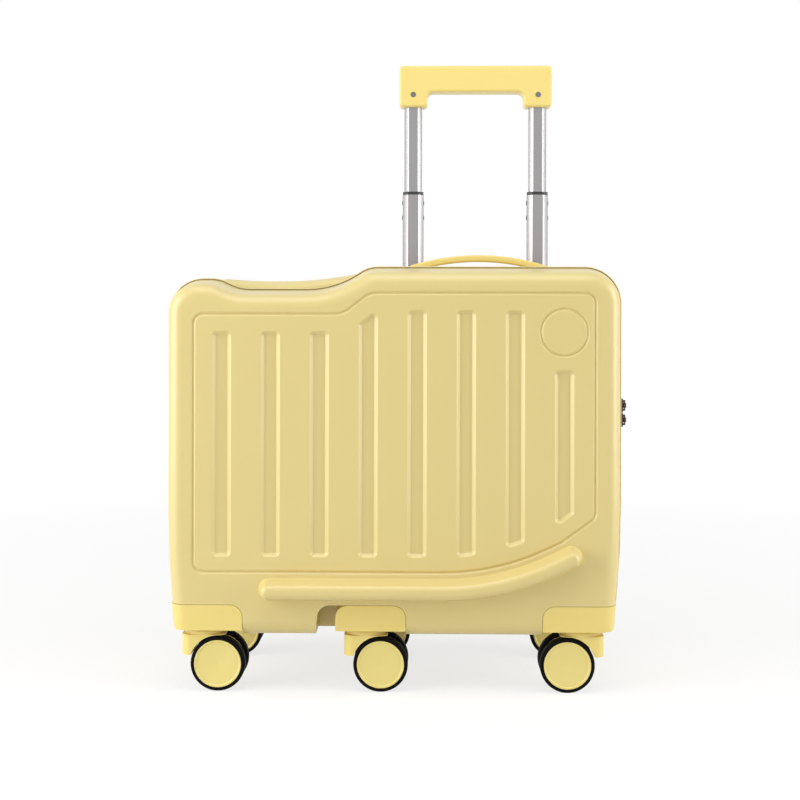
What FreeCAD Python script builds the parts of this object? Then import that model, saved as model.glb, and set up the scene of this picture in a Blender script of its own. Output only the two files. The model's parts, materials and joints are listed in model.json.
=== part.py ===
import FreeCAD, Part
import math
import os
import re

from FreeCAD import Placement, Rotation, Vector
import Sketcher

# Driving dimensions in millimetres and degrees.
# X runs along the case towards the handle end, Y from the lid to the back, Z up from the floor.
SIZES = {
    # case outline in the plane of the zipper
    "case_half_width": 232.3,
    "case_floor": 57.0,
    "deck_height": 427.0,
    "seat_drop": 23.0,
    "bump_drop": 12.5,
    "deck_corner_radius": 36.0,
    "bump_corner_radius": 34.0,
    "bottom_corner_radius": 30.0,
    "crest_share": 0.0753336,
    "crest_radius": 31.0,
    "seat_end_radius": 100.0,
    "bump_setback": 42.3,
    "bump_radius": 34.0,
    "seat_start_radius": 50.0,
    # depth and mouldings of the two halves
    "face_y": 103.0,
    "lid_depth": 58.0,
    "lid_taper": 5.8,
    "back_taper": 5.8,
    "face_fillet": 14.5,
    "shell_wall": 2.5,
    "rim_gap": 5.5,
    # zipper
    "zip_proud": 2.0,
    "zip_thickness": 7.0,
    "zip_rim_clearance": 0.3,
    "zip_parting_clearance": 0.15,
    "zip_flange_depth": 8.0,
    "zip_flange_thickness": 1.0,
    # framed panel on each face
    "panel_left_margin": 31.3,
    "panel_right_margin": 30.3,
    "panel_bottom": 120.8,
    "panel_seat_margin": 24.5,
    "panel_deck_margin": 26.2,
    "panel_step_setback": 20.0,
    "panel_step_run": 27.0,
    "panel_step_radius": 24.0,
    "panel_corner_radius": 10.0,
    "panel_knee_setback": 34.6,
    "panel_knee_angle": 36.0,
    "panel_knee_radius": 40.0,
    "groove_width": 4.5,
    "groove_depth": 1.6,
    "cutter_clearance": 0.5,
    # sunk channels
    "channel_count": 8,
    "channel_first_inset": 28.4,
    "channel_last_inset": 30.9,
    "channel_floor_width": 12.0,
    "channel_wall_run": 3.75,
    "channel_depth": 3.0,
    "channel_margin": 17.0,
    "channel_foot_margin": 15.0,
    "channel_corner_radius": 1.2,
    # round dish above the last channel of the lid
    "dish_drop": 39.3,
    "dish_radius": 25.5,
    "dish_ring": 4.0,
    "dish_depth": 1.4,
    "dish_gap": 12.0,
    # footrest ridge
    "footrest_left_setback": 97.8,
    "footrest_right_setback": 43.3,
    "footrest_z": 103.8,
    "footrest_width": 22.0,
    "footrest_reach": 21.0,
    "footrest_bend_share": 0.4692208,
    "footrest_rise_angle": 26.0,
    "footrest_bend_radius": 260.0,
    "footrest_draft": 3.5,
    "footrest_round": 6.0,
    # saddle pad
    "saddle_left_gap": 3.0,
    "saddle_right_gap": 9.5,
    "saddle_back_gap": 23.0,
    "saddle_zip_gap": 1.5,
    "saddle_left_rise": 1.5,
    "saddle_low_share": 0.45,
    "saddle_low_rise": 10.5,
    "saddle_right_rise": 0.5,
    "saddle_crown": 5.0,
    "saddle_edge_round": 3.0,
    "saddle_corner_radius": 20.0,
    # caster housings
    "caster_left_setback": 40.8,
    "caster_middle_share": 0.1183814,
    "caster_right_setback": 42.3,
    "caster_y": 77.5,
    "housing_half_width": 35.2,
    "housing_shift": 5.0,
    "housing_top": 87.5,
    "housing_bottom": 62.0,
    "housing_back_y": 55.0,
    "housing_gap": 0.4,
    "housing_wall": 3.0,
    "housing_corner_radius": 12.5,
    "housing_drop": 12.0,
    "notch_overrun": 20.0,
    "notch_sharp_radius": 1.0,
    "recess_width": 17.0,
    "recess_lean": 8.0,
    # caster forks and wheels
    "wheel_radius": 27.5,
    "wheel_width": 13.0,
    "wheel_spacing": 28.0,
    "wheel_trail": 15.0,
    "hub_radius": 23.8,
    "hub_dish": 1.2,
    "hub_rim": 2.2,
    "tyre_round": 3.0,
    "axle_radius": 3.0,
    "axle_cap": 3.5,
    "running_clearance": 0.05,
    "hood_radius": 20.5,
    "hood_drop": 25.5,
    "hood_round": 3.0,
    "hood_wheel_gap": 2.5,
    "skirt_half_length": 22.0,
    "skirt_corner_radius": 10.0,
    "skirt_floor_gap": 0.5,
    "swivel_gap": 0.4,
    "web_thickness": 9.6,
    "web_end_radius": 9.0,
    "stem_boss_radius": 6.8,
    "boss_length": 23.0,
    "stem_radius": 4.0,
    "stem_head_radius": 5.4,
    "stem_head_height": 2.5,
    "stem_depth": 16.0,
    # trolley
    "trolley_share": 0.3723633,
    "trolley_y": 70.0,
    "tube_pitch": 138.0,
    "upper_tube_width": 19.6,
    "upper_tube_depth": 15.6,
    "upper_tube_wall": 1.2,
    "middle_tube_wall": 1.4,
    "outer_tube_wall": 1.4,
    "tube_gap": 0.4,
    "outer_tube_gap": 1.0,
    "tube_chamfer": 4.8,
    "collar_height": 3.2,
    "collar_step": 0.2,
    "collar_bore_gap": 0.3,
    "middle_tube_rise": 85.0,
    "middle_tube_length": 322.0,
    "upper_tube_length": 323.0,
    "guide_height": 11.0,
    "guide_spigot": 7.0,
    "guide_clearance": 0.3,
    "stud_radius": 2.4,
    "stud_proud": 0.6,
    "stud_first_drop": 9.0,
    "stud_second_drop": 25.3,
    "stud_clearance": 0.05,
    "plate_rise": 4.0,
    "plate_margin": 7.0,
    "plate_lip": 2.5,
    "plate_round": 9.0,
    "bracket_height": 22.0,
    "bracket_floor": 6.0,
    "bracket_margin": 4.0,
    "seat_clearance": 0.15,
    # grip and its release button
    "grip_half_width": 84.3,
    "grip_rise": 142.5,
    "grip_bar_height": 29.0,
    "grip_leg_drop": 16.7,
    "grip_leg_width": 30.9,
    "grip_depth": 27.0,
    "grip_corner_round": 4.0,
    "grip_inner_round": 7.0,
    "grip_edge_round": 2.5,
    "grip_socket_depth": 20.0,
    "button_length": 48.0,
    "button_width": 15.0,
    "button_height": 8.0,
    "button_travel": 4.0,
    "button_sink": 0.3,
    "button_clearance": 0.4,
    "button_round": 5.0,
    "screw_head_radius": 3.0,
    "screw_head_height": 1.6,
    "screw_radius": 1.7,
    "screw_length": 8.5,
    "screw_rise": 13.4,
    "screw_sink": 0.5,
    # carry handle
    "carry_shift": 1.9,
    "carry_y": 18.0,
    "carry_length": 147.0,
    "carry_width": 22.0,
    "carry_thickness": 7.0,
    "carry_rise": 16.0,
    "carry_end_rise": 4.5,
    "carry_leg_length": 13.0,
    "carry_leg_width": 15.0,
    "carry_leg_drop": 26.0,
    "carry_stop_height": 3.0,
    "carry_stop_proud": 2.6,
    "carry_clearance": 0.5,
    "carry_lift_gap": 0.7,
    "base_margin": 4.5,
    "base_rise": 0.3,
    # lock on the handle end
    "lock_y": -18.0,
    "lock_drop": 164.0,
    "lock_width": 24.0,
    "lock_height": 76.0,
    "lock_proud": 1.7,
    "lock_depth": 14.0,
    "lock_round": 5.0,
    "lock_flange": 2.0,
    "lock_flange_step": 0.6,
    "dial_radius": 6.2,
    "dial_thickness": 4.4,
    "dial_pitch": 7.0,
    "dial_first_drop": 27.0,
    "dial_proud": 1.2,
    "dial_clearance": 0.35,
    "dial_shaft_radius": 1.5,
    "lock_button_drop": 2.0,
    "lock_button_height": 8.0,
    "lock_button_width": 12.0,
    "lock_button_proud": 0.6,
    "lock_button_travel": 2.0,
    "lock_button_depth": 6.0,
    # zipper sliders and pulls
    "slider_meet_rise": 15.0,
    "slider_length": 14.2,
    "slider_gap": 0.8,
    "slider_width": 9.0,
    "slider_nose_width": 5.0,
    "slider_plate": 1.6,
    "slider_clearance": 0.3,
    "bridge_bar_radius": 0.8,
    "bridge_foot": 2.2,
    "bridge_inset": 1.5,
    "eye_clearance": 0.3,
    "eye_wall": 0.7,
    "eye_length": 5.0,
    "pull_length": 22.0,
    "pull_width": 6.0,
    "pull_thickness": 1.3,
    "pull_hole_radius": 1.6,
}

# Sizes that follow from the ones above.
FORMULAS = {
    "seat_height": "deck_height - seat_drop",
    "bump_height": "deck_height - bump_drop",
    "crest_x": "-crest_share * case_half_width",
    "bump_x": "bump_setback - case_half_width",
    "panel_left": "panel_left_margin - case_half_width",
    "panel_right": "case_half_width - panel_right_margin",
    "panel_seat_top": "seat_height - panel_seat_margin",
    "panel_deck_top": "deck_height - panel_deck_margin",
    "panel_step_x": "crest_x - panel_step_setback",
    "panel_knee_x": "panel_right - panel_knee_setback",
    "channel_first_x": "panel_left + channel_first_inset",
    "channel_last_x": "panel_right - channel_last_inset",
    "channel_pitch": "(channel_last_x - channel_first_x) / (channel_count - 1)",
    "dish_z": "panel_deck_top - dish_drop",
    "footrest_left": "footrest_left_setback - case_half_width",
    "footrest_right": "case_half_width - footrest_right_setback",
    "footrest_bend_x": "footrest_bend_share * case_half_width",
    "panel_sweep_rise": "panel_bottom - footrest_z",
    "panel_sweep_radius": "footrest_bend_radius - panel_sweep_rise",
    "panel_sweep_x": "footrest_bend_x - panel_sweep_rise * tan(footrest_rise_angle / 2)",
    "saddle_left": "bump_x + saddle_left_gap",
    "saddle_right": "crest_x - saddle_right_gap",
    "saddle_back_y": "face_y - saddle_back_gap",
    "saddle_left_z": "bump_height + saddle_left_rise",
    "saddle_low_x": "saddle_left + saddle_low_share * (saddle_right - saddle_left)",
    "saddle_low_z": "seat_height + saddle_low_rise",
    "saddle_right_z": "deck_height + saddle_right_rise",
    "caster_left_x": "caster_left_setback - case_half_width",
    "caster_middle_x": "-caster_middle_share * case_half_width",
    "caster_right_x": "case_half_width - caster_right_setback",
    "trolley_x": "trolley_share * case_half_width",
    "middle_tube_top": "deck_height + middle_tube_rise",
    "plate_top": "deck_height + plate_rise",
    "grip_top": "middle_tube_top + grip_rise",
    "carry_x": "trolley_x + carry_shift",
    "carry_apex": "deck_height + carry_rise",
    "carry_end_z": "deck_height + carry_end_rise",
    "carry_leg_bottom": "deck_height - carry_leg_drop",
    "lock_z": "deck_height - lock_drop",
    "lock_face_x": "case_half_width + lock_proud",
    "dial_first_z": "lock_z - dial_first_drop",
    "lock_button_z": "lock_z - lock_button_drop",
    "slider_meet_z": "lock_z + slider_meet_rise",
    "parting_y": "lid_depth - face_y",
    "wheel_half_spacing": "wheel_spacing / 2",
    "wheel_inner_face": "wheel_half_spacing - wheel_width / 2",
    "wheel_outer_face": "wheel_half_spacing + wheel_width / 2",
    "fork_top": "housing_bottom - swivel_gap",
    "hood_bottom": "fork_top - hood_drop",
    "skirt_top": "case_floor - skirt_floor_gap",
    "middle_grow": "tube_gap + middle_tube_wall",
    "outer_bore_grow": "middle_grow + outer_tube_gap",
    "outer_grow": "outer_bore_grow + outer_tube_wall",
    "outer_half_width": "upper_tube_width / 2 + outer_grow",
    "outer_half_depth": "upper_tube_depth / 2 + outer_grow",
    "middle_tube_bottom": "middle_tube_top - middle_tube_length",
    "grip_bottom": "grip_top - grip_bar_height - grip_leg_drop",
    "upper_tube_top": "grip_bottom + grip_socket_depth",
    "upper_tube_bottom": "upper_tube_top - upper_tube_length",
    "bracket_bottom": "housing_top + housing_gap + shell_wall",
    "outer_tube_bottom": "bracket_bottom + bracket_floor",
    "outer_tube_top": "plate_top - plate_lip",
    "left_tube_x": "trolley_x - tube_pitch / 2",
    "right_tube_x": "trolley_x + tube_pitch / 2",
    "zip_face_x": "case_half_width + zip_proud",
    "slider_base_x": "zip_face_x + slider_clearance",
    "slider_plate_x": "slider_base_x + slider_plate",
    "eye_bore_radius": "bridge_bar_radius + eye_clearance",
    "eye_radius": "eye_bore_radius + eye_wall",
    "bridge_x": "slider_plate_x + slider_clearance + eye_radius",
    "dial_x": "lock_face_x + dial_proud - dial_radius",
    "grip_front_y": "trolley_y - grip_depth / 2",
    "grip_back_y": "trolley_y + grip_depth / 2",
    "grip_bar_bottom": "grip_top - grip_bar_height",
    "screw_z": "grip_bottom + screw_rise",
    "screw_head_y": "grip_front_y + screw_sink",
    "button_floor": "grip_top - button_sink - button_height",
    "collar_top": "middle_tube_top + collar_height",
    "carry_left": "carry_x - carry_length / 2",
    "carry_right": "carry_x + carry_length / 2",
    "carry_arch_rise": "carry_apex - carry_end_z",
    "carry_arch_radius": "((carry_length / 2) * (carry_length / 2) + carry_arch_rise * carry_arch_rise)"
                         " / (2 * carry_arch_rise)",
    "base_top": "deck_height + base_rise",
    "boss_bottom": "fork_top - boss_length",
}

LID, BACK = -1, 1
CASTERS = {
    "left": ("caster_left_x", 0),
    "middle": ("caster_middle_x", 0),
    "right": ("caster_right_x", 180),
}

doc = FreeCAD.newDocument("ride_on_suitcase")
sheet = doc.addObject("Spreadsheet::Sheet", "sizes")
for row, (alias, value) in enumerate(list(SIZES.items()) + list(FORMULAS.items()), start=1):
    sheet.set(f"A{row}", alias)
    sheet.set(f"B{row}", f"={value}" if alias in FORMULAS else str(value))
    sheet.setAlias(f"B{row}", alias)
doc.recompute()

NODES = {}


def size(alias):
    """The number that the sheet holds under an alias."""
    return float(sheet.get(alias))


def formula(text):
    """A formula in the sheet's aliases, written as an expression of the document."""
    def prefix(match):
        word = match.group()
        return f"sizes.{word}" if word in SIZES or word in FORMULAS else word
    return re.sub(r"[a-z_][a-z_0-9]*", prefix, text)


def bind(obj, formulas):
    """Tie properties of an object to formulas in the sheet's aliases."""
    for path, text in formulas.items():
        obj.setExpression(path, formula(text))
    return obj


def node(label, obj):
    """Name an object as a finished piece."""
    obj.Label = label
    NODES[label] = obj
    return obj


def shape_node(label, shape):
    """A finished piece whose form needs Part's own functions."""
    obj = doc.addObject("Part::Feature", label)
    obj.Shape = shape
    return node(label, obj)


# Sketched bodies

PLANES = {"XY": ("XY_Plane", ""), "XZ": ("XZ_Plane", "-"), "YZ": ("YZ_Plane", "")}


def new_body(name):
    body = doc.addObject("PartDesign::Body", name)
    body.AllowCompound = True
    return body


def add_loop(sketch, corners):
    """A closed outline of straight sides, each corner held by two formulas."""
    first = sketch.GeometryCount
    count = len(corners)
    start = [Vector(10 * math.cos(2 * math.pi * i / count), 10 * math.sin(2 * math.pi * i / count), 0)
             for i in range(count)]
    for i in range(count):
        sketch.addGeometry(Part.LineSegment(start[i], start[(i + 1) % count]), False)
    for i in range(count):
        sketch.addConstraint(Sketcher.Constraint("Coincident", first + i, 2, first + (i + 1) % count, 1))
    for i, corner in enumerate(corners):
        for kind, text, guess in zip(("DistanceX", "DistanceY"), corner, (start[i].x, start[i].y)):
            index = sketch.addConstraint(Sketcher.Constraint(kind, -1, 1, first + i, 1, guess))
            sketch.setExpression(f"Constraints[{index}]", formula(text))


def add_sketch(body, plane, level, loops):
    """A sketch on one of the body's origin planes, moved to a level along the plane's axis."""
    role, sign = PLANES[plane]
    sketch = body.newObject("Sketcher::SketchObject", f"{body.Name}_sketch")
    support = next(f for f in body.Origin.OriginFeatures if f.Role == role)
    sketch.AttachmentSupport = [(support, "")]
    sketch.MapMode = "FlatFace"
    sketch.setExpression("AttachmentOffset.Base.z", formula(f"{sign}({level})"))
    for loop in loops:
        add_loop(sketch, loop)
    return sketch


def pad(body, plane, low, high, loops):
    """Material between two levels along the plane's axis."""
    level = high if plane == "XZ" else low
    sketch = add_sketch(body, plane, level, loops)
    feature = body.newObject("PartDesign::Pad", f"{body.Name}_pad")
    feature.Profile = sketch
    bind(feature, {"Length": f"({high}) - ({low})"})
    doc.recompute()
    return body


def pocket(body, plane, low, high, loops):
    """Material taken away between two levels along the plane's axis."""
    level = low if plane == "XZ" else high
    sketch = add_sketch(body, plane, level, loops)
    feature = body.newObject("PartDesign::Pocket", f"{body.Name}_pocket")
    feature.Profile = sketch
    bind(feature, {"Length": f"({high}) - ({low})"})
    before = body.Shape.Volume
    doc.recompute()
    if not body.Shape.Volume < before:
        raise RuntimeError(f"a pocket of {body.Name} takes nothing away")
    return body


def revolve(body, plane, axis, loops):
    """Material turned about an axis of the sketch."""
    sketch = add_sketch(body, plane, "0", loops)
    feature = body.newObject("PartDesign::Revolution", f"{body.Name}_turn")
    feature.Profile = sketch
    feature.ReferenceAxis = (sketch, [axis])
    feature.Angle = 360
    doc.recompute()
    return body


def round_edges(body, radius, chosen):
    """Round the edges of a body that a test picks out."""
    tip = body.Tip
    names = [f"Edge{i}" for i, edge in enumerate(tip.Shape.Edges, start=1) if chosen(edge)]
    feature = body.newObject("PartDesign::Fillet", f"{body.Name}_round")
    feature.Base = (tip, names)
    bind(feature, {"Radius": radius})
    doc.recompute()
    return body


def runs_along(edge, axis):
    """Whether a straight edge runs along an axis, given as 0, 1 or 2."""
    if edge.Curve.TypeId != "Part::GeomLine":
        return False
    direction = edge.tangentAt(edge.FirstParameter)
    return abs(abs(direction[axis]) - 1) < 1e-6


def at_level(edge, axis, level):
    """Whether every end of an edge lies at a level along an axis."""
    return all(abs(vertex.Point[axis] - level) < 1e-4 for vertex in edge.Vertexes)


def rectangle(u0, u1, v0, v1):
    return [(u0, v0), (u1, v0), (u1, v1), (u0, v1)]


def tube_section(x, grow):
    """The eight-sided trolley section about x, grown all round from the outside of the upper tube."""
    w = f"(upper_tube_width / 2 + {grow})"
    d = f"(upper_tube_depth / 2 + {grow})"
    c = f"(tube_chamfer + ({grow}) * (2 - sqrt(2)))"
    left, right = f"{x} - {w}", f"{x} + {w}"
    near, far = f"trolley_y - {d}", f"trolley_y + {d}"
    return [
        (f"{left} + {c}", near), (f"{right} - {c}", near), (right, f"{near} + {c}"), (right, f"{far} - {c}"),
        (f"{right} - {c}", far), (f"{left} + {c}", far), (left, f"{far} - {c}"), (left, f"{near} + {c}"),
    ]


# Primitives and booleans

def box(name, x, y, z):
    """A block between two formulas along each axis."""
    obj = doc.addObject("Part::Box", name)
    return bind(obj, {
        "Length": f"({x[1]}) - ({x[0]})", "Width": f"({y[1]}) - ({y[0]})", "Height": f"({z[1]}) - ({z[0]})",
        "Placement.Base.x": x[0], "Placement.Base.y": y[0], "Placement.Base.z": z[0],
    })


TURNS = {"X": Rotation(Vector(0, 1, 0), 90), "Y": Rotation(Vector(1, 0, 0), -90), "Z": Rotation()}


def cylinder(name, axis, base, radius, length):
    """A round bar along an axis from a base point."""
    obj = doc.addObject("Part::Cylinder", name)
    obj.Placement.Rotation = TURNS[axis]
    return bind(obj, {
        "Radius": radius, "Height": length,
        "Placement.Base.x": base[0], "Placement.Base.y": base[1], "Placement.Base.z": base[2],
    })


def fuse(name, *shapes):
    obj = doc.addObject("Part::MultiFuse", name)
    obj.Shapes = list(shapes)
    return obj


def cut(name, base, *tools):
    obj = doc.addObject("Part::Cut", name)
    obj.Base = base
    obj.Tool = tools[0] if len(tools) == 1 else fuse(f"{name}_tools", *tools)
    return obj


def common(name, *shapes):
    obj = doc.addObject("Part::MultiCommon", name)
    obj.Shapes = list(shapes)
    return obj


# Outlines made of straight runs and tangent arcs

def arc(point, centre, radius, first, last):
    """An arc of a circle, from one angle to another in degrees; point maps (u, v) to space."""
    angles = [math.radians(a) for a in (first, (first + last) / 2, last)]
    ends = [point(centre[0] + radius * math.cos(a), centre[1] + radius * math.sin(a)) for a in angles]
    return Part.Arc(*ends).toShape()


def joined(arcs):
    """A closed wire of arcs joined by straight runs, in their own order."""
    edges = []
    for this, following in zip(arcs, arcs[1:] + arcs[:1]):
        edges.append(this)
        here = this.valueAt(this.LastParameter)
        there = following.valueAt(following.FirstParameter)
        if here.distanceToPoint(there) > 1e-5:
            edges.append(Part.makeLine(here, there))
    return Part.Wire(edges)


def rounded(point, corners):
    """A closed wire through corners (u, v, radius), each corner rounded by a tangent arc."""
    arcs = []
    count = len(corners)
    for i, (u, v, radius) in enumerate(corners):
        before, after = corners[i - 1], corners[(i + 1) % count]
        back = Vector(before[0] - u, before[1] - v, 0).normalize()
        ahead = Vector(after[0] - u, after[1] - v, 0).normalize()
        reach = radius / math.tan(back.getAngle(ahead) / 2)
        middle = (back + ahead).normalize()
        centre = Vector(u, v, 0) + middle * (radius / math.sin(back.getAngle(ahead) / 2))
        ends = [Vector(u, v, 0) + back * reach, centre - middle * radius, Vector(u, v, 0) + ahead * reach]
        arcs.append(Part.Arc(*[point(p.x, p.y) for p in ends]).toShape())
    return joined(arcs)


def in_face(y):
    """Maps (x, z) to the plane at y."""
    return lambda x, z: Vector(x, y, z)


def in_plan(z):
    """Maps (x, y) to the plane at z."""
    return lambda x, y: Vector(x, y, z)


def prism(wire, travel):
    return Part.Face(wire).extrude(travel)


# The two half shells

def face_depth(side, depth):
    """The y of a plane at some depth under the face of one half."""
    return side * (size("face_y") - depth)


def rim_y(side):
    return size("parting_y") + side * size("rim_gap")


def case_outline(y, inset=0.0, rise=0.0):
    """The outline of the case at y, drawn in by an inset on the sides and top and raised at the floor.

    Going round: floor, handle end, deck, the slope into the seat, the seat, the bump behind it, far end.
    """
    half_width, floor = size("case_half_width"), size("case_floor") + rise
    deck, seat, bump = size("deck_height"), size("seat_height"), size("bump_height")
    deck_r, bump_r = size("deck_corner_radius"), size("bump_corner_radius")
    floor_r = size("bottom_corner_radius")
    crest_r, seat_end_r = size("crest_radius"), size("seat_end_radius")
    hump_r, seat_start_r = size("bump_radius"), size("seat_start_radius")
    slope = math.acos(1 - (deck - seat) / (crest_r + seat_end_r))
    lean = math.acos(1 - (bump - seat) / (hump_r + seat_start_r))
    seat_right = size("crest_x") - (crest_r + seat_end_r) * math.sin(slope)
    seat_left = size("bump_x") + (hump_r + seat_start_r) * math.sin(lean)
    slope, lean = math.degrees(slope), math.degrees(lean)
    floor_z = floor + floor_r - inset
    point = in_face(y)
    return joined([
        arc(point, (half_width - floor_r, floor_z), floor_r - inset, -90, 0),
        arc(point, (half_width - deck_r, deck - deck_r), deck_r - inset, 0, 90),
        arc(point, (size("crest_x"), deck - crest_r), crest_r - inset, 90, 90 + slope),
        arc(point, (seat_right, seat + seat_end_r), seat_end_r + inset, -90 + slope, -90),
        arc(point, (seat_left, seat + seat_start_r), seat_start_r + inset, -90, -90 - lean),
        arc(point, (size("bump_x"), bump - hump_r), hump_r - inset, 90 - lean, 90),
        arc(point, (bump_r - half_width, bump - bump_r), bump_r - inset, 90, 180),
        arc(point, (floor_r - half_width, floor_z), floor_r - inset, 180, 270),
    ])


def half_solid(side, wall=0.0, past_rim=0.0):
    """One half as a drafted block with a rounded face; with a wall, the hollow that leaves that wall."""
    taper = size("lid_taper") if side == LID else size("back_taper")
    face, rim = face_depth(side, wall), rim_y(side)
    run = abs(rim - face_depth(side, 0))
    face_inset = wall + taper * (1 - wall / run)
    end_inset = wall - taper * past_rim / run
    wires = [case_outline(face, face_inset, wall), case_outline(rim - side * past_rim, end_inset, wall)]
    block = Part.makeLoft(wires, True, True)
    edges = [edge for edge in block.Edges if at_level(edge, 1, face)]
    return block.makeFillet(size("face_fillet") - wall, edges)


def panel_outline(y):
    """The framed panel: stepped along the top, swept up at the foot beside the footrest."""
    left, right, bottom = size("panel_left"), size("panel_right"), size("panel_bottom")
    seat_top, deck_top = size("panel_seat_top"), size("panel_deck_top")
    step, run, step_r = size("panel_step_x"), size("panel_step_run"), size("panel_step_radius")
    corner_r = size("panel_corner_radius")
    sweep_x, knee_x = size("panel_sweep_x"), size("panel_knee_x")
    knee_z = bottom + (knee_x - sweep_x) * math.tan(math.radians(size("footrest_rise_angle")))
    end_z = knee_z + (right - knee_x) * math.tan(math.radians(size("panel_knee_angle")))
    return rounded(in_face(y), [
        (left, bottom, corner_r), (sweep_x, bottom, size("panel_sweep_radius")),
        (knee_x, knee_z, size("panel_knee_radius")), (right, end_z, corner_r),
        (right, deck_top, corner_r), (step + run / 2, deck_top, step_r), (step - run / 2, seat_top, step_r),
        (left, seat_top, corner_r),
    ])


def bevelled(side, wire, run, depth):
    """A sunk shape whose walls slope in by a run over its depth, starting clear of the face."""
    clear = size("cutter_clearance")
    slope = run / depth
    mouth = wire.makeOffset2D(run + clear * slope)
    mouth.translate(Vector(0, side * clear, 0))
    foot = wire.copy()
    foot.translate(Vector(0, -side * depth, 0))
    return Part.makeLoft([mouth, foot], True, True)


def groove(side):
    """The narrow groove that frames the panel."""
    half, depth = size("groove_width") / 2, size("groove_depth")
    line = panel_outline(face_depth(side, 0))
    outer = bevelled(side, line.makeOffset2D(half / 2), half / 2, depth)
    bank = line.makeOffset2D(-half)
    crown = line.makeOffset2D(-half / 2)
    crown.translate(Vector(0, -side * depth, 0))
    clear = size("cutter_clearance")
    top = line.makeOffset2D(-half - clear * half / 2 / depth)
    top.translate(Vector(0, side * clear, 0))
    island = Part.makeLoft([top, bank, crown], True, True)
    return outer.cut(island)


def channel_feet(side):
    """The flat floors of the sunk channels: upright strips that stop short of the panel's groove."""
    y = face_depth(side, 0)
    run, width = size("channel_wall_run"), size("channel_floor_width")
    field = Part.Face(panel_outline(y).makeOffset2D(-size("channel_margin") - run))
    lower = Vector(0, 0, size("channel_foot_margin") - size("channel_margin"))
    field = field.fuse(field.translated(lower))
    dish_foot = size("dish_z") - size("dish_radius") - size("dish_gap") - run
    feet = []
    for i in range(int(size("channel_count"))):
        x = size("channel_first_x") + i * size("channel_pitch")
        last = i == int(size("channel_count")) - 1
        top = dish_foot if last and side == LID else size("deck_height")
        strip = Part.makePolygon([Vector(x + dx * width / 2, y, z) for dx, z in
                                  ((-1, 0), (1, 0), (1, top), (-1, top), (-1, 0))])
        shape = field.common(Part.Face(strip))
        ends = {sign: sorted(v.Point.z for v in shape.Vertexes if (v.Point.x - x) * sign > width / 4)
                for sign in (-1, 1)}
        corner_r = size("channel_corner_radius")
        feet.append([(x - width / 2, ends[-1][0], corner_r), (x + width / 2, ends[1][0], corner_r),
                     (x + width / 2, ends[1][-1], corner_r), (x - width / 2, ends[-1][-1], corner_r)])
    return feet


def channels(side):
    y = face_depth(side, 0)
    return [bevelled(side, rounded(in_face(y), foot), size("channel_wall_run"), size("channel_depth"))
            for foot in channel_feet(side)]


def channel_backs(side):
    """The wall behind each channel, as it shows inside the half."""
    wall, deep = size("shell_wall"), size("shell_wall") + size("channel_depth")
    backs = []
    for foot in channel_feet(side):
        wire = rounded(in_face(face_depth(side, 0)), foot).makeOffset2D(wall)
        backs.append(prism(wire, Vector(0, -side * deep, 0)))
    return backs


def footrest(side, wall=0.0):
    """The footrest ridge, a bar with round ends that kicks up towards the handle; with a wall, its hollow."""
    half = size("footrest_width") / 2
    angle = math.radians(size("footrest_rise_angle"))
    z, bend_x, bend_r = size("footrest_z"), size("footrest_bend_x"), size("footrest_bend_radius")
    along = Vector(math.cos(angle), math.sin(angle), 0)
    across = Vector(-math.sin(angle), math.cos(angle), 0)
    reach = (size("footrest_right") - bend_x - half) / math.cos(angle) + half
    shift = half * math.tan(angle / 2)
    tip = Vector(bend_x, z, 0) + along * reach

    def section(inset, depth):
        h = half - inset
        low, high = tip - along * inset - across * h, tip - along * inset + across * h
        left = size("footrest_left") + inset
        end_r = h * 0.96
        kink = shift * h / half
        return rounded(in_face(face_depth(side, depth)), [
            (left, z - h, end_r), (bend_x + kink, z - h, bend_r + h), (low.x, low.y, end_r),
            (high.x, high.y, end_r), (bend_x - kink, z + h, bend_r - h), (left, z + h, end_r),
        ])

    root, reach_y = size("shell_wall"), size("footrest_reach")
    top = section(wall + size("footrest_draft"), wall - reach_y)
    bar = Part.makeLoft([section(wall, root), top], True, True)
    nose = [edge for edge in bar.Edges if at_level(edge, 1, face_depth(side, wall - reach_y))]
    return bar.makeFillet(size("footrest_round") - wall / 2, nose)


def dish():
    """The plain round dish on the lid: a ring sunk into the face."""
    x = size("channel_first_x") + (size("channel_count") - 1) * size("channel_pitch")
    base, length = Vector(x, face_depth(LID, size("dish_depth")), size("dish_z")), 2 * size("dish_depth")
    outwards = Vector(0, LID, 0)
    outer = Part.makeCylinder(size("dish_radius"), length, base, outwards)
    return outer.cut(Part.makeCylinder(size("dish_radius") - size("dish_ring"), length, base, outwards))


def housing_block(place, side, gap=0.0, with_recess=False, lift=0.0):
    """The block of space that a caster housing takes in a half; grown or shrunk by a gap, lifted at its foot."""
    alias, turn = CASTERS[place]
    x = size(alias) + size("housing_shift") * (-1 if turn else 1)
    half = size("housing_half_width") + gap
    left, right = x - half, x + half
    beyond = size("case_half_width") + size("notch_overrun")
    corner_r, sharp = size("housing_corner_radius") + gap, size("notch_sharp_radius")
    lean = 0.0
    left_r = right_r = corner_r
    if place == "left":
        left, left_r = -beyond, sharp
    if place == "right":
        right, right_r = beyond, sharp
    if with_recess and place == "middle":
        left, lean = left - size("recess_width"), size("recess_lean")
    top = size("housing_top") + gap
    bottom = 0.0 if with_recess else size("housing_bottom") + lift
    reach = size("face_y") + size("footrest_reach")
    back = size("housing_back_y") - gap
    wire = rounded(in_face(side * back), [
        (left - lean, bottom, sharp), (right, bottom, sharp), (right, top, right_r), (left, top, left_r)])
    return prism(wire, Vector(0, side * (reach - back), 0))


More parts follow.
